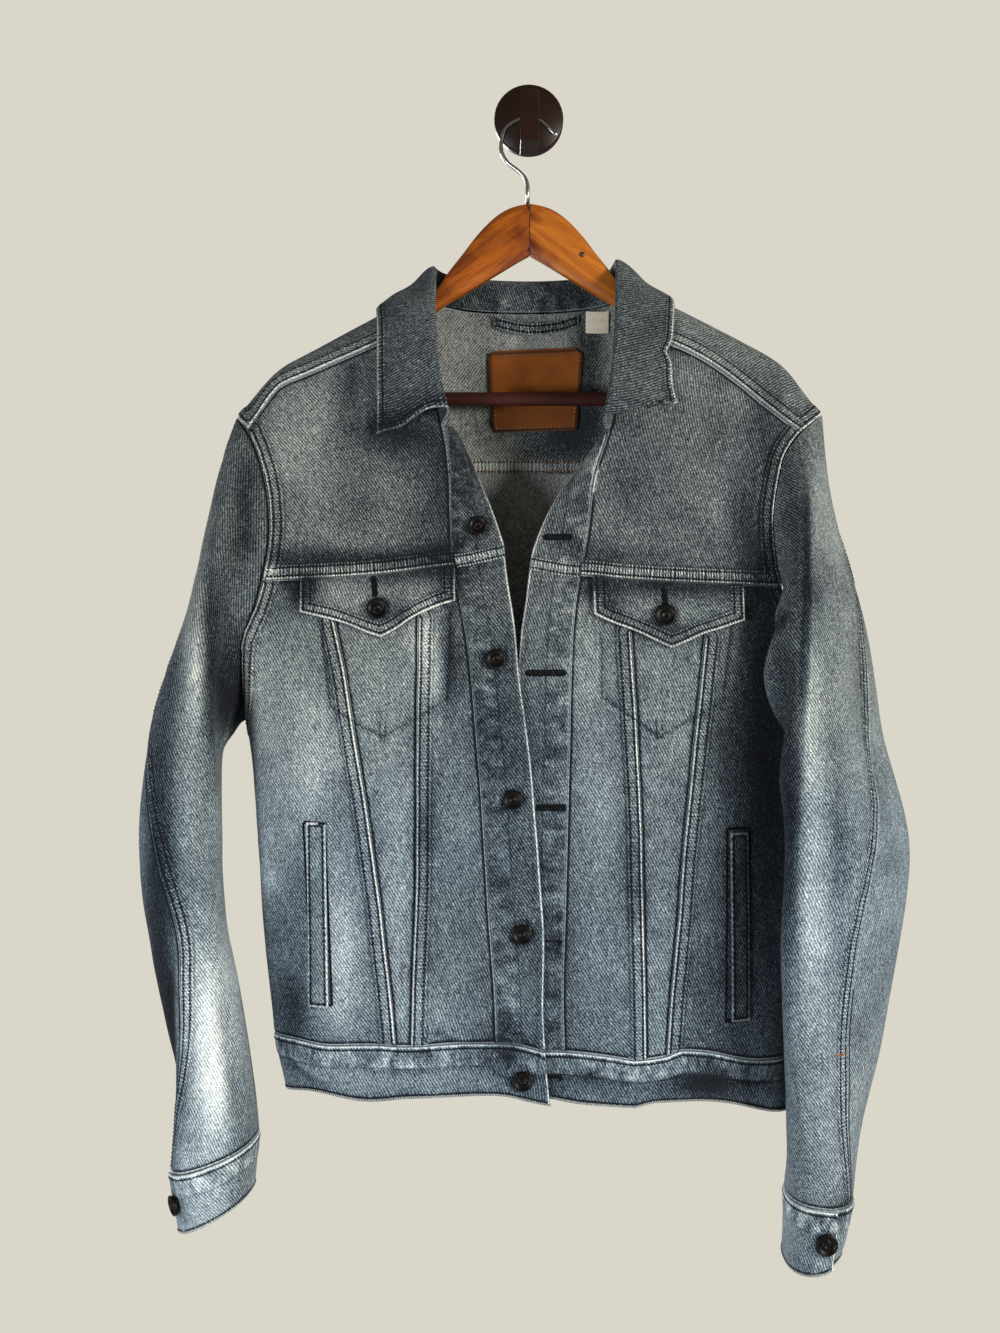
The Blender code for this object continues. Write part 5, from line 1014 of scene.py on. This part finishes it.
SLEEVE_CREASES = (  # down the sleeves' folds; these move both sides of the cloth, and their troughs are darkened as painted shade
    (((-272, -671), (-276, -726), (-279, -773), (-282, -820)), 4.0, -3.0, -0.22),
    (((-262, -671), (-266, -726), (-269, -773), (-272, -820)), 5.0, 1.6, 0.08),
    (((-250, -366), (-250, -403), (-247, -435), (-245, -482)), 4.5, -3.0, -0.2),
    (((-222, -345), (-234, -385), (-246, -425)), 9.0, -2.6, -0.07),
    (((-258, -372), (-260, -420), (-258, -480)), 7.0, 2.2, 0.05),
    (((-236, -700), (-230, -760), (-222, -810)), 4.0, -2.0, -0.12),
    (((216, -285), (209, -372), (203, -443), (198, -505)), 5.0, -4.0, -0.16),
    (((223, -275), (217, -356), (210, -435), (204, -513), (199, -602), (197, -678)), 5.0, 2.4, 0.07),
    (((197, -413), (184, -429), (174, -442)), 3.5, -2.5, -0.2),
    (((250, -430), (262, -500), (275, -560)), 11.0, -2.4, -0.05),
    (((228, -867), (236, -862), (247, -862)), 5.0, -1.5, -0.1),
)
# Wavy free edges, and the patch's rounded corners: kind of panel, centre x and z, half width and half height,
# shift in x and z, all in mm.
NUDGES = (
    ("collar", -101, -264, 12, 14, 0, -4.5),
    ("collar", -66, -252, 10, 10, 0, -3.0),
    ("collar", 112, -205, 9, 6, -4.0, 0),
    ("collar", 96, -252, 14, 10, 0, 2.0),
    ("collar", -92, -146, 15, 12, 2.0, -5.0),
    ("collar", 90, -146, 15, 12, -2.5, -4.5),
    ("neck_patch", -34, -262, 3.6, 3.6, 3.6, 3.6),
    ("neck_patch", 45, -262, 3.6, 3.6, -3.6, 3.6),
    ("neck_patch", -34, -191, 3.6, 3.6, 3.6, -3.6),
    ("neck_patch", 45, -191, 3.6, 3.6, -3.6, -3.6),
    ("pocket_flap", -143, -428, 13, 9, 0, 1.6),
    ("pocket_flap", -88, -424, 15, 10, 0, 2.0),
    ("pocket_flap", 77, -438, 13, 9, 0, 1.6),
    ("pocket_flap", 132, -432, 14, 9, 0, 1.8),
    ("cuff", -232, -905, 14, 8, 0, 3.0),
    ("cuff", 232, -905, 10, 10, -2.0, 3.0),
    ("waistband", -30, -795, 22, 12, 0, 1.8),
    ("waistband", 32, -802, 18, 12, 0, -1.8),
    ("waistband", -120, -795, 40, 12, 0, -1.5),
    ("waistband", 130, -795, 40, 12, 0, 1.5),
)
BUTTONS = [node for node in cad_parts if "button" in node]


def hill(points, x, z, wide, tall):
    """A soft hill of height one in the garment's front view, its centre and half sizes in mm."""
    away_x, away_z = (points[:, 0] / MM - x) / wide, (points[:, 2] / MM - z) / tall
    return np.exp(-(away_x**2) - away_z**2)


def beside_path(points, path):
    """How many mm points lie from a path in the garment's front view, and how far along it, from 0 to 1."""
    flat = points[:, (0, 2)] / MM
    best, run, done = np.full(len(flat), 1e9), np.zeros(len(flat)), 0.0
    for a, b in zip(np.array(path, float), np.array(path[1:], float)):
        way = b - a
        length = np.linalg.norm(way)
        share = np.clip((flat - a) @ way / length**2, 0, 1)
        gap = np.linalg.norm(flat - a - share[:, None] * way, axis=1)
        run = np.where(gap < best, done + share * length, run)
        best = np.minimum(best, gap)
        done += length
    return best, run / done


for node, made in cloths.items():
    points = made["points"]
    sleeve = "sleeve" in node or "cuff" in node
    depth = points[:, 1] / MM
    front = smooth(0.9, -0.2, made["out"][:, 1]) if sleeve else smooth(-20, -45, depth)
    # the wash's wear, and the painted shade and highlight of the same tables
    for *where, change in SLEEVE_WASH_AND_SHADING if sleeve else WASH_AND_SHADING:
        made["wear"] += change * hill(points, *where) * front
    # painted shade inside the back neck
    for *where, change in INSIDE_SHADE if "back" in node else ():
        made["wear"] += change * hill(points, *where) * made["on"][:, REVERSE]
    if node == "collar":  # the stand's puckers inside the back neck, and a darker band along its top
        back = smooth(-30, -18, depth)
        height = points[:, 2] / MM
        puckers = clouds(points * (1, 0, 0.2), 8, 21) - 0.1
        made["wear"] += 0.34 * puckers * back * smooth(-171, -166, height) * smooth(-148, -155, height)
        made["wear"] -= 0.1 * back * np.exp(-(((height + 145) / 6) ** 2))
    if family(node) in ("collar", "placket", "pocket_flap", "pocket_welt"):
        continue
    facing = smooth(0.3, -0.3, made["out"][:, 1])
    for path, half, rise, change in SLEEVE_CREASES if sleeve else POCKET_BAGS + HEM_CREASES:
        gap, share = beside_path(points, path)
        ends = np.minimum(smooth(0, 0.2, share), smooth(1, 0.8, share)) if half > 1.7 else 1.0
        shape = np.exp(-((gap / half) ** 2)) * facing * ends
        if sleeve:
            made["points"] = points = points + made["out"] * (rise * shape * MM)[:, None]
        else:
            made["rise"] += rise * shape
        made["wear"] += change * shape
for node in BUTTONS:  # the cloth is drawn in under each, and stays dark round it
    low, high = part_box(node)
    centre = np.array((low + high) / 2)
    radius = max(high - low) / 2
    for made in cloths.values():
        gap = np.linalg.norm(made["points"] - centre, axis=1)
        halo = np.exp(-((np.maximum(gap - radius, 0) / (2.6 * MM)) ** 2))
        made["wear"] -= 0.17 * halo * (gap < 4 * radius)
        made["rise"] -= 0.5 * np.exp(-((gap / radius) ** 2))


# ---------------------------------------------------------------- finishing the cloth
# Every point is moved and given its wear and hue, then each panel is fastened to the garment's one body. The
# sheets sway a little, as hung cloth does, and the free edges of the front bands sway the most.
STIFF = ("collar", "neck_patch", "care_label")  # these don't sway


def give(mesh, name, values):
    """Stores a number or a vector for each point of a mesh."""
    kind, field = ("FLOAT", "value") if values.ndim == 1 else ("FLOAT_VECTOR", "vector")
    mesh.attributes.new(name, kind, "POINT").data.foreach_set(field, values.ravel())


for node, made in cloths.items():
    piece, points = made["piece"], made["points"]
    made["wear"] += 0.06 * clouds(points, 60, 5) + 0.05 * clouds(points, 19, 6)
    if family(node) == "pocket_flap":  # its upper corners lie under the yoke's band, and stay indigo
        top = smooth(-17, -5, (points[:, 2] - points[:, 2].max()) / MM)
        made["wear"] -= 0.2 * top
        made["seam"][:, 2] *= 1 - 0.85 * top
    if node == "neck_patch":  # darker along its edges and towards its foot
        made["wear"] -= 0.8 * np.exp(-((made["seam"][:, 0] / 1.5) ** 2))
        made["wear"] -= 0.3 * smooth(-228, -240, points[:, 2] / MM)
    cooler = smooth(-0.33, -0.66, points[:, 2])  # the hue cools from the chest to the waist
    tint = np.clip(cooler * 0.85 + 0.05 + 0.2 * clouds(points, 90, 8), 0, 1)
    near_edge = np.zeros(len(points))
    for kind, ring in made["runs"]:
        if kind == "fold" and family(node) == "placket":
            chosen, gap, _ = from_run(points, points[ring], 30)
            near_edge[chosen] = np.maximum(near_edge[chosen], np.exp(-gap / 9))
    sway = 0.8 * clouds(points, 64, 11) + 0.35 * clouds(points, 26, 12)
    sway += 1.6 * near_edge * clouds(points, 34, 13)
    shift = made["out"] * (sway * (family(node) not in STIFF))[:, None]
    shift[:, 0] += 1.7 * near_edge * clouds(points * (0, 0, 1), 40, 14)
    for own, *where, shift_x, shift_z in NUDGES:
        if own == family(node):
            shift[:, (0, 2)] += hill(points, *where)[:, None] * (shift_x, shift_z)
    rise = made["rise"] * made["on"][:, FACE]
    made["moved"] = points + (shift + made["normals"] * rise[:, None]) * MM
    piece.data.vertices.foreach_set("co", made["moved"].ravel())
    give(piece.data, "tint", tint)
    for name in ("wear", "ribs", "seam", "rows"):
        give(piece.data, name, made[name])
    piece.data.update()
    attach(piece, "root")
    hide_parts(node)


# ---------------------------------------------------------------- topstitching
# Corespun polyester thread, three stitches to the centimetre. A stitch is a short bead of thread, half sunk
# in the cloth; the same beads, turned across the path, make overlocked hems, bartacks and buttonholes.
def thread_tree():
    """Lays beads of thread along the edges of a mesh, turned by an angle about the cloth's normal."""
    tree = bpy.data.node_groups.new("thread_beads", "GeometryNodeTree")
    face = tree.interface
    face.new_socket("Path", in_out="INPUT", socket_type="NodeSocketGeometry")
    for name in ("Pitch", "Length", "Width", "Turn"):
        face.new_socket(name, in_out="INPUT", socket_type="NodeSocketFloat")
    face.new_socket("Thread", in_out="INPUT", socket_type="NodeSocketMaterial")
    face.new_socket("Stitches", in_out="OUTPUT", socket_type="NodeSocketGeometry")
    given = add(tree, "NodeGroupInput").outputs
    result = add(tree, "NodeGroupOutput")

    def step(kind, inputs=None, **settings):
        return add(tree, kind, inputs, **settings).outputs[0]

    lines = step("GeometryNodeMeshToCurve", {"Mesh": given["Path"]})
    spaced = step("GeometryNodeResampleCurve", {"Curve": lines, "Length": given["Pitch"]}, mode="LENGTH")
    tangent = step("GeometryNodeInputTangent")
    up = step("GeometryNodeInputNamedAttribute", {"Name": "cloth_normal"}, data_type="FLOAT_VECTOR")
    along = step("FunctionNodeAlignRotationToVector", {"Vector": tangent}, axis="X")
    flat = step("FunctionNodeAlignRotationToVector", {"Rotation": along, "Vector": up},
                axis="Z", pivot_axis="X")
    turn = step("FunctionNodeAxisAngleToRotation", {"Axis": (0.0, 0.0, 1.0), "Angle": given["Turn"]})
    turned = step("FunctionNodeRotateRotation", {0: flat, 1: turn}, rotation_space="LOCAL")
    uneven = add(tree, "FunctionNodeRandomValue", {2: 0.84, 3: 1.14, "Seed": 3}, data_type="FLOAT").outputs[1]
    long = step("ShaderNodeMath", {0: given["Length"], 1: uneven}, operation="MULTIPLY")
    thick = step("ShaderNodeMath", {0: given["Width"], 1: 0.8}, operation="MULTIPLY")
    scale = step("ShaderNodeCombineXYZ", {0: long, 1: given["Width"], 2: thick})
    bead = step("GeometryNodeMeshIcoSphere", {"Radius": 0.5, "Subdivisions": 1})
    laid = step("GeometryNodeInstanceOnPoints", {"Points": spaced, "Instance": bead, "Rotation": turned,
                                                 "Scale": scale})
    soft = step("GeometryNodeSetShadeSmooth", {0: step("GeometryNodeRealizeInstances", {0: laid})})
    dyed = step("GeometryNodeSetMaterial", {"Geometry": soft, "Material": given["Thread"]})
    tree.links.new(dyed, result.inputs[0])
    return tree


THREAD_TREE = thread_tree()


def thread(name, tone_a, tone_b):
    """Spun thread: two close tones that change from stitch to stitch, and a dull sheen."""
    return plain_finish(name, tone_a, tone_b, 400.0, 0.8, specular=0.15)


dark_thread = thread("navy_thread", "#080B10", "#161B22")
black_thread = thread("black_thread", "#040507", "#0B0D11")
tan_thread = thread("tan_thread", "#7A5434", "#A87C50")
edge_thread = thread("grey_overlock_thread", "#8E9089", "#C2C0B4")


def sew(name, paths, finish, pitch, length, width, turn=0.0):
    """Stitches along paths of (points, normals), as one piece of thread.

    The stitches' pitch, length and width are in mm, and turn is their angle to the path."""
    spots, ups, edges = [], [], []
    for line, normals in paths:
        edges += [(len(spots) + i, len(spots) + i + 1) for i in range(len(line) - 1)]
        spots += [tuple(p) for p in line]
        ups += [tuple(n) for n in normals]
    mesh = bpy.data.meshes.new(name)
    mesh.from_pydata(spots, edges, [])
    attribute = mesh.attributes.new("cloth_normal", "FLOAT_VECTOR", "POINT")
    attribute.data.foreach_set("vector", np.array(ups).ravel())
    mesh.materials.append(finish)
    piece = link(name, mesh)
    stitched = piece.modifiers.new("stitches", "NODES")
    stitched.node_group = THREAD_TREE
    values = {"Pitch": pitch * MM, "Length": length * MM, "Width": width * MM, "Turn": turn, "Thread": finish}
    for item in THREAD_TREE.interface.items_tree:
        if item.name in values:
            stitched[item.identifier] = values[item.name]
    deps = bpy.context.evaluated_depsgraph_get()
    made = bpy.data.meshes.new_from_object(piece.evaluated_get(deps), depsgraph=deps)
    piece.modifiers.clear()
    piece.data = made
    bpy.data.meshes.remove(mesh)
    made.name = name
    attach(piece, "root")


def side_tree(made, side):
    """A search tree of one side of a finished cloth."""
    polygons = [list(p.vertices) for p in made["piece"].data.polygons if p.material_index == side]
    return BVHTree.FromPolygons([Vector(p) for p in made["moved"]], polygons)


BESIDE = 2.5 * MM  # a row ends where its cloth is farther off than this
THREAD_LIFT = 0.12 * MM


def inset_row(made, ring, inset):
    """A path that keeps inset mm in from an edge, on the cloth: a list of (points, normals)."""
    line, tree = made["moved"][ring], made["tree"]
    way = np.gradient(line, axis=0)
    near = [tree.find_nearest(p) for p in line]
    normals = np.array([n[1] for n in near])
    across = np.cross(normals, way)
    across /= np.maximum(np.linalg.norm(across, axis=1), 1e-12)[:, None]
    left, right = (line[::4] + sign * 3 * MM * across[::4] for sign in (1, -1))
    off_left, off_right = (sum(tree.find_nearest(p)[3] for p in trial) for trial in (left, right))
    inward = across * (1 if off_left < off_right else -1)
    spots = line + inward * inset * MM
    edge_tree = search_tree(line)
    keep = [edge_tree.find(p)[2] > (inset - 0.25) * MM for p in spots]
    for _ in range(2):
        spots[1:-1] = (spots[:-2] + 2 * spots[1:-1] + spots[2:]) / 4
    paths, current = [], []
    for spot, kept in zip(spots, keep):
        place, normal, _, distance = tree.find_nearest(spot)
        on_cloth = kept and distance < BESIDE
        if on_cloth and (not current or (place - current[-1][0]).length < 2 * BESIDE):
            current.append((place, normal))
            continue
        paths.append(current)
        current = [(place, normal)] if on_cloth else []
    paths.append(current)
    return [([p + n * THREAD_LIFT for p, n in path], [n for p, n in path]) for path in paths if len(path) > 4]


for made in cloths.values():
    made["tree"] = side_tree(made, FACE)
GROUPS = {"front": dark_thread, "back": dark_thread, "sleeves": dark_thread, "collar": dark_thread,
          "welts": black_thread, "patch": tan_thread}
GROUP_OF = {"top_sleeve": "sleeves", "under_sleeve": "sleeves", "cuff": "sleeves", "back_panel": "back",
            "back_yoke": "back", "collar": "collar", "locker_loop": "collar", "neck_patch": "patch",
            "pocket_welt": "welts"}
stitch_rows, overlock = {group: [] for group in GROUPS}, []
for node, made in cloths.items():
    for kind, ring in made["runs"]:
        for inset in SEAMS[kind]["rows"]:
            stitch_rows[GROUP_OF.get(family(node), "front")] += inset_row(made, ring, inset)
        if kind == "hem":
            overlock += inset_row(made, ring, 0.7)
for group, finish in GROUPS.items():
    sew(f"topstitching_{group}", stitch_rows[group], finish, 3.3, 2.5, 1.0)
sew("overlocked_hems", overlock, edge_thread, 1.7, 2.6, 0.8, math.radians(62))


TO_WALL = Vector((0, 1, 0))


def on_front(x, z, nodes):
    """The foremost point of these cloths at x, z in mm, and its normal."""
    best = None
    for node in nodes:
        start = Vector((x * MM, -0.4, z * MM))
        spot, normal, _, distance = cloths[node]["tree"].ray_cast(start, TO_WALL)
        if spot is not None and (best is None or distance < best[2]):
            best = (spot, normal, distance)
    return best


FRONTS = [node for node in cloths if "front_" in node and "yoke" not in node]


def front_path(path, nodes=FRONTS, step=1.5, lift=0.12):
    """A path over the garment's front from x, z points in mm, lift mm above the cloth: (points, normals)."""
    spots, normals = [], []
    for part, (a, b) in enumerate(zip(path, path[1:])):
        count = max(1, round(math.dist(a, b) / step))
        for i in range(count + (part == len(path) - 2)):
            found = on_front(*(a[k] + (b[k] - a[k]) * i / count for k in (0, 1)), nodes)
            if found and (not spots or (found[0] - spots[-1]).length < 2.5 * step * MM + 1 * MM):
                spots.append(found[0] + found[1] * lift * MM)
                normals.append(found[1])
    return spots, normals


sew("pocket_bag_stitching", [front_path(path) for path, *_ in POCKET_BAGS], dark_thread, 3.0, 2.3, 0.7)
# A close row sews each hand pocket's welt in, all round, and a bartack holds each of its ends. x, z in mm.
BARTACKS = (((-175, -576), (-158, -577)), ((-168, -717), (-153, -715)),
            ((152, -581), (168, -581)), ((150, -727), (165, -728)))
WELT_OUTLINES = {"right": ((-176, -577), (-159, -577), (-152.5, -715), (-168.5, -718), (-176, -577)),
                 "left": ((151, -581), (169, -581), (165.5, -728), (149, -728), (151, -581))}
outlines = [front_path(path, [f"side_front_{side}"], 1.0, 0.1) for side, path in WELT_OUTLINES.items()]
sew("pocket_outlines", outlines, black_thread, 1.0, 1.5, 1.9)
WELTS = FRONTS + ["pocket_welt_right", "pocket_welt_left"]
ACROSS = math.pi / 2
bartacks = [front_path(path, WELTS, 0.7) for path in BARTACKS]
sew("pocket_bartacks", bartacks, black_thread, 0.55, 2.8, 0.7, ACROSS)


def capsule(a, b, half):
    """The outline of a slot from a to b, round at its ends and half mm wide to each side."""
    a, b = np.array(a, float), np.array(b, float)
    way = (b - a) / math.dist(a, b)
    side = np.array((-way[1], way[0]))
    arc = [half * (way * math.cos(t) + side * math.sin(t)) for t in np.linspace(-ACROSS, ACROSS, 9)]
    points = [b + p for p in arc] + [a - p for p in arc]
    return [tuple(p) for p in points + points[:1]]


HOLES = (  # buttonholes: their cloth, from, to and half width in mm
    ("placket_left", (12, -355), (30, -355), 1.7),
    ("placket_left", (-2, -461), (25, -461), 1.7),
    ("placket_left", (6, -564), (27, -564), 1.7),
    ("placket_left", (11, -665), (23, -665), 1.7),
    ("waistband", (12, -768), (21, -768), 1.7),
    ("pocket_flap_right", (-122, -388), (-121, -400), 1.5),
    ("pocket_flap_left", (103, -397), (104.5, -408), 1.5),
)
holes = [front_path(capsule(a, b, half), [node], 0.7, 0.25) for node, a, b, half in HOLES]
sew("buttonhole_stitching", holes, black_thread, 0.62, 2.3, 0.75, ACROSS)
# Black beads down each slit stand in for the shade inside the cut: a painted shadow.
slit_shades = [front_path((a, b), [node], 0.8, 0.1) for node, a, b, half in HOLES]
sew("buttonhole_slits", slit_shades, black_thread, 0.9, 1.7, 1.7)
tan_tack = front_path(((226, -746), (238, -746)), ["top_sleeve_left", "under_sleeve_left"], 0.7)
sew("sleeve_bartack", [tan_tack], tan_thread, 0.5, 2.0, 0.6, ACROSS)


# ---------------------------------------------------------------- bands
# The yoke seam's felled band runs on across both front bands, and shows inside the back in tan thread. Each
# is a thin strip of cloth under two rows of stitching.
BAND_ROW = 1.9  # mm from a band's edge to its stitching
TAPE_SHARES = np.array((-1.0, -0.93, -0.6, -0.2, 0.2, 0.6, 0.93, 1.0))  # of half its width, across
TAPE_THICK = np.array((0.05, 0.6, 0.85, 0.8, 0.8, 0.85, 0.6, 0.05)) * MM


def tape(name, stations, width, finish, wear, pitch, white):
    """A thin strip of cloth along stations of (point, normal), its long edges turned under.

    Gives the piece and the paths of its two rows of stitching."""
    spots = np.array([p for p, n in stations])
    ups = np.array([n for p, n in stations])
    way = np.gradient(spots, axis=0)
    steps = np.linalg.norm(np.diff(spots, axis=0), axis=1)
    along = np.concatenate([[0.0], np.cumsum(steps)])
    side = np.cross(ups, way)
    side /= np.linalg.norm(side, axis=1)[:, None]
    middle = spots[:, None] + side[:, None] * TAPE_SHARES[None, :, None] * width / 2 * MM
    top = middle + ups[:, None] * TAPE_THICK[None, :, None]
    bottom = middle - ups[:, None] * 0.1 * MM
    points = np.concatenate([top.reshape(-1, 3), bottom.reshape(-1, 3)])
    count, cross = len(spots), len(TAPE_SHARES)
    under = count * cross
    faces = []
    for i in range(count - 1):
        for k in range(cross - 1):
            a, b, c, d = i * cross + k, i * cross + k + 1, (i + 1) * cross + k + 1, (i + 1) * cross + k
            faces += [(a, d, c, b), (under + a, under + b, under + c, under + d)]
        for k in (0, cross - 1):
            a, d = i * cross + k, (i + 1) * cross + k
            faces.append((a, under + a, under + d, d))
    for i in (0, count - 1):
        for k in range(cross - 1):
            a, b = i * cross + k, i * cross + k + 1
            faces.append((a, b, under + b, under + a))
    mesh = bpy.data.meshes.new(name)
    mesh.from_pydata([tuple(p) for p in points], [], faces)
    run = np.tile(np.repeat(along, cross), 2)
    across = np.tile(TAPE_SHARES, 2 * count) * width / 2
    flat = np.stack([run, across * MM], axis=1)
    layer = mesh.uv_layers.new(name="cloth")
    layer.uv.foreach_set("vector", flat[read(mesh.loops, "vertex_index", 1)].ravel())
    worn = np.tile(np.repeat(np.broadcast_to(wear, count), cross), 2)
    whole = np.ones(len(points))
    give(mesh, "wear", worn + 0.05 * clouds(points, 12, 3))
    give(mesh, "tint", 0.3 * whole)
    give(mesh, "ribs", 0.45 * whole)
    give(mesh, "seam", np.stack([width / 2 - np.abs(across), run / MM / pitch, white * whole], axis=1))
    give(mesh, "rows", np.tile((BAND_ROW, NO_ROW, width), (len(points), 1)))
    piece = solid_piece(name, mesh, finish, 180.0)
    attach(piece, "root")
    lines = [(spots + side * sign * (width / 2 - BAND_ROW) * MM + ups * 0.85 * MM, ups) for sign in (-1, 1)]
    return piece, lines


BAND_PATHS = {"right": ((-61.5, -374.5), (-47, -372), (-32, -368.5), (-20.5, -366)),
              "left": ((-0.5, -375.5), (23, -380), (46.5, -382.5))}
band_rows = []
for side, path in BAND_PATHS.items():
    spots, normals = front_path(path, [f"placket_{side}"], 1.0, 0.0)
    piece, lines = tape(f"yoke_band_{side}", list(zip(spots, normals)), 10.4, denim_face, 0.52, 2.4, 0.0)
    band_rows += lines
sew("yoke_band_stitching", band_rows, dark_thread, 3.3, 2.5, 0.95)

INSIDE_BAND_Z = -0.29
INSIDE_BAND_HALF = 0.15
reverse_trees = [side_tree(cloths[node], REVERSE) for node in ("back_panel", "back_yoke")]
stations = []
for x in np.linspace(-INSIDE_BAND_HALF, INSIDE_BAND_HALF, 160):
    hits = [tree.ray_cast(Vector((x, -0.05, INSIDE_BAND_Z)), TO_WALL) for tree in reverse_trees]
    hits = [hit for hit in hits if hit[0] is not None]
    if hits:
        spot, normal, _, _ = min(hits, key=lambda hit: hit[3])
        stations.append((tuple(spot), tuple(normal if normal.y < 0 else -normal)))
# painted shade: darker beyond the patch's middle, where the left front shades it, like the yoke above it; its
# edges get painted shadow lines
shaded = 0.54 - 0.22 * smooth(-5, 25, np.array([spot[0] for spot, normal in stations]) / MM)
piece, lines = tape("inside_yoke_band", stations, 11.5, denim_reverse, shaded, 3.0, -0.15)
sew("inside_band_stitching", lines, tan_thread, 3.0, 2.5, 0.8)


# ---------------------------------------------------------------- buttons
# Stamped ring buttons of blackened brass: a domed rim, a sunk ring and a small raised centre. Each stands on
# the cloth where its solid does, and leans as that does.
PROFILE = (  # radius and height in mm, from the centre out
    (0.0, 1.5), (1.5, 1.5), (1.9, 1.9), (2.5, 2.0), (2.9, 1.5), (3.4, 1.2), (5.3, 1.3),
    (5.9, 2.0), (6.7, 2.7), (7.5, 2.5), (8.0, 1.7), (7.9, 0.7), (7.3, 0.0), (0.0, 0.0),
)
PROFILE_RADIUS = max(radius for radius, height in PROFILE)
FRONT_SHARE = 0.9  # the front's own buttons are a little narrower than their solids


def ring_button(node, finish):
    """A button lathed about its CAD solid's axis, which points away from the cloth."""
    share = FRONT_SHARE if "front" in node else 1.0
    points = read(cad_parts[node].data.vertices, "co", 3)
    middle = points.mean(0)
    axis = np.linalg.svd(points - middle, full_matrices=False)[2][2]
    outward = OUT_OF_WALL
    if "cuff" in node:
        outward = middle - cloths["cuff_" + node.rsplit("_", 1)[1]]["points"].mean(0)
    axis = axis if axis @ outward > 0 else -axis
    along = (points - middle) @ axis
    base = middle + axis * along.min()
    radius = np.linalg.norm(points - middle - along[:, None] * axis, axis=1).max()
    grow = radius / (PROFILE_RADIUS * MM) * share
    piece = lathe(f"{node}_cap", base, axis, PROFILE, grow * MM, 40, finish)
    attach(piece, "root")
    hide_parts(node)


# a thin black patina on metal: dark, with a blurred glint on the rims
black = plain_finish("blackened_brass", "#0C0B0B", "#242220", 500.0, 0.42, 0.85)
for node in BUTTONS:
    ring_button(node, black)


# ---------------------------------------------------------------- cloth sheets
# Each panel's cut, laid flat: width across the body, length down it, and the area within that rectangle. Each
# hangs from the panel that it is sewn to, or from the hanger.
for node, made in cloths.items():
    side = node.removeprefix(family(node))
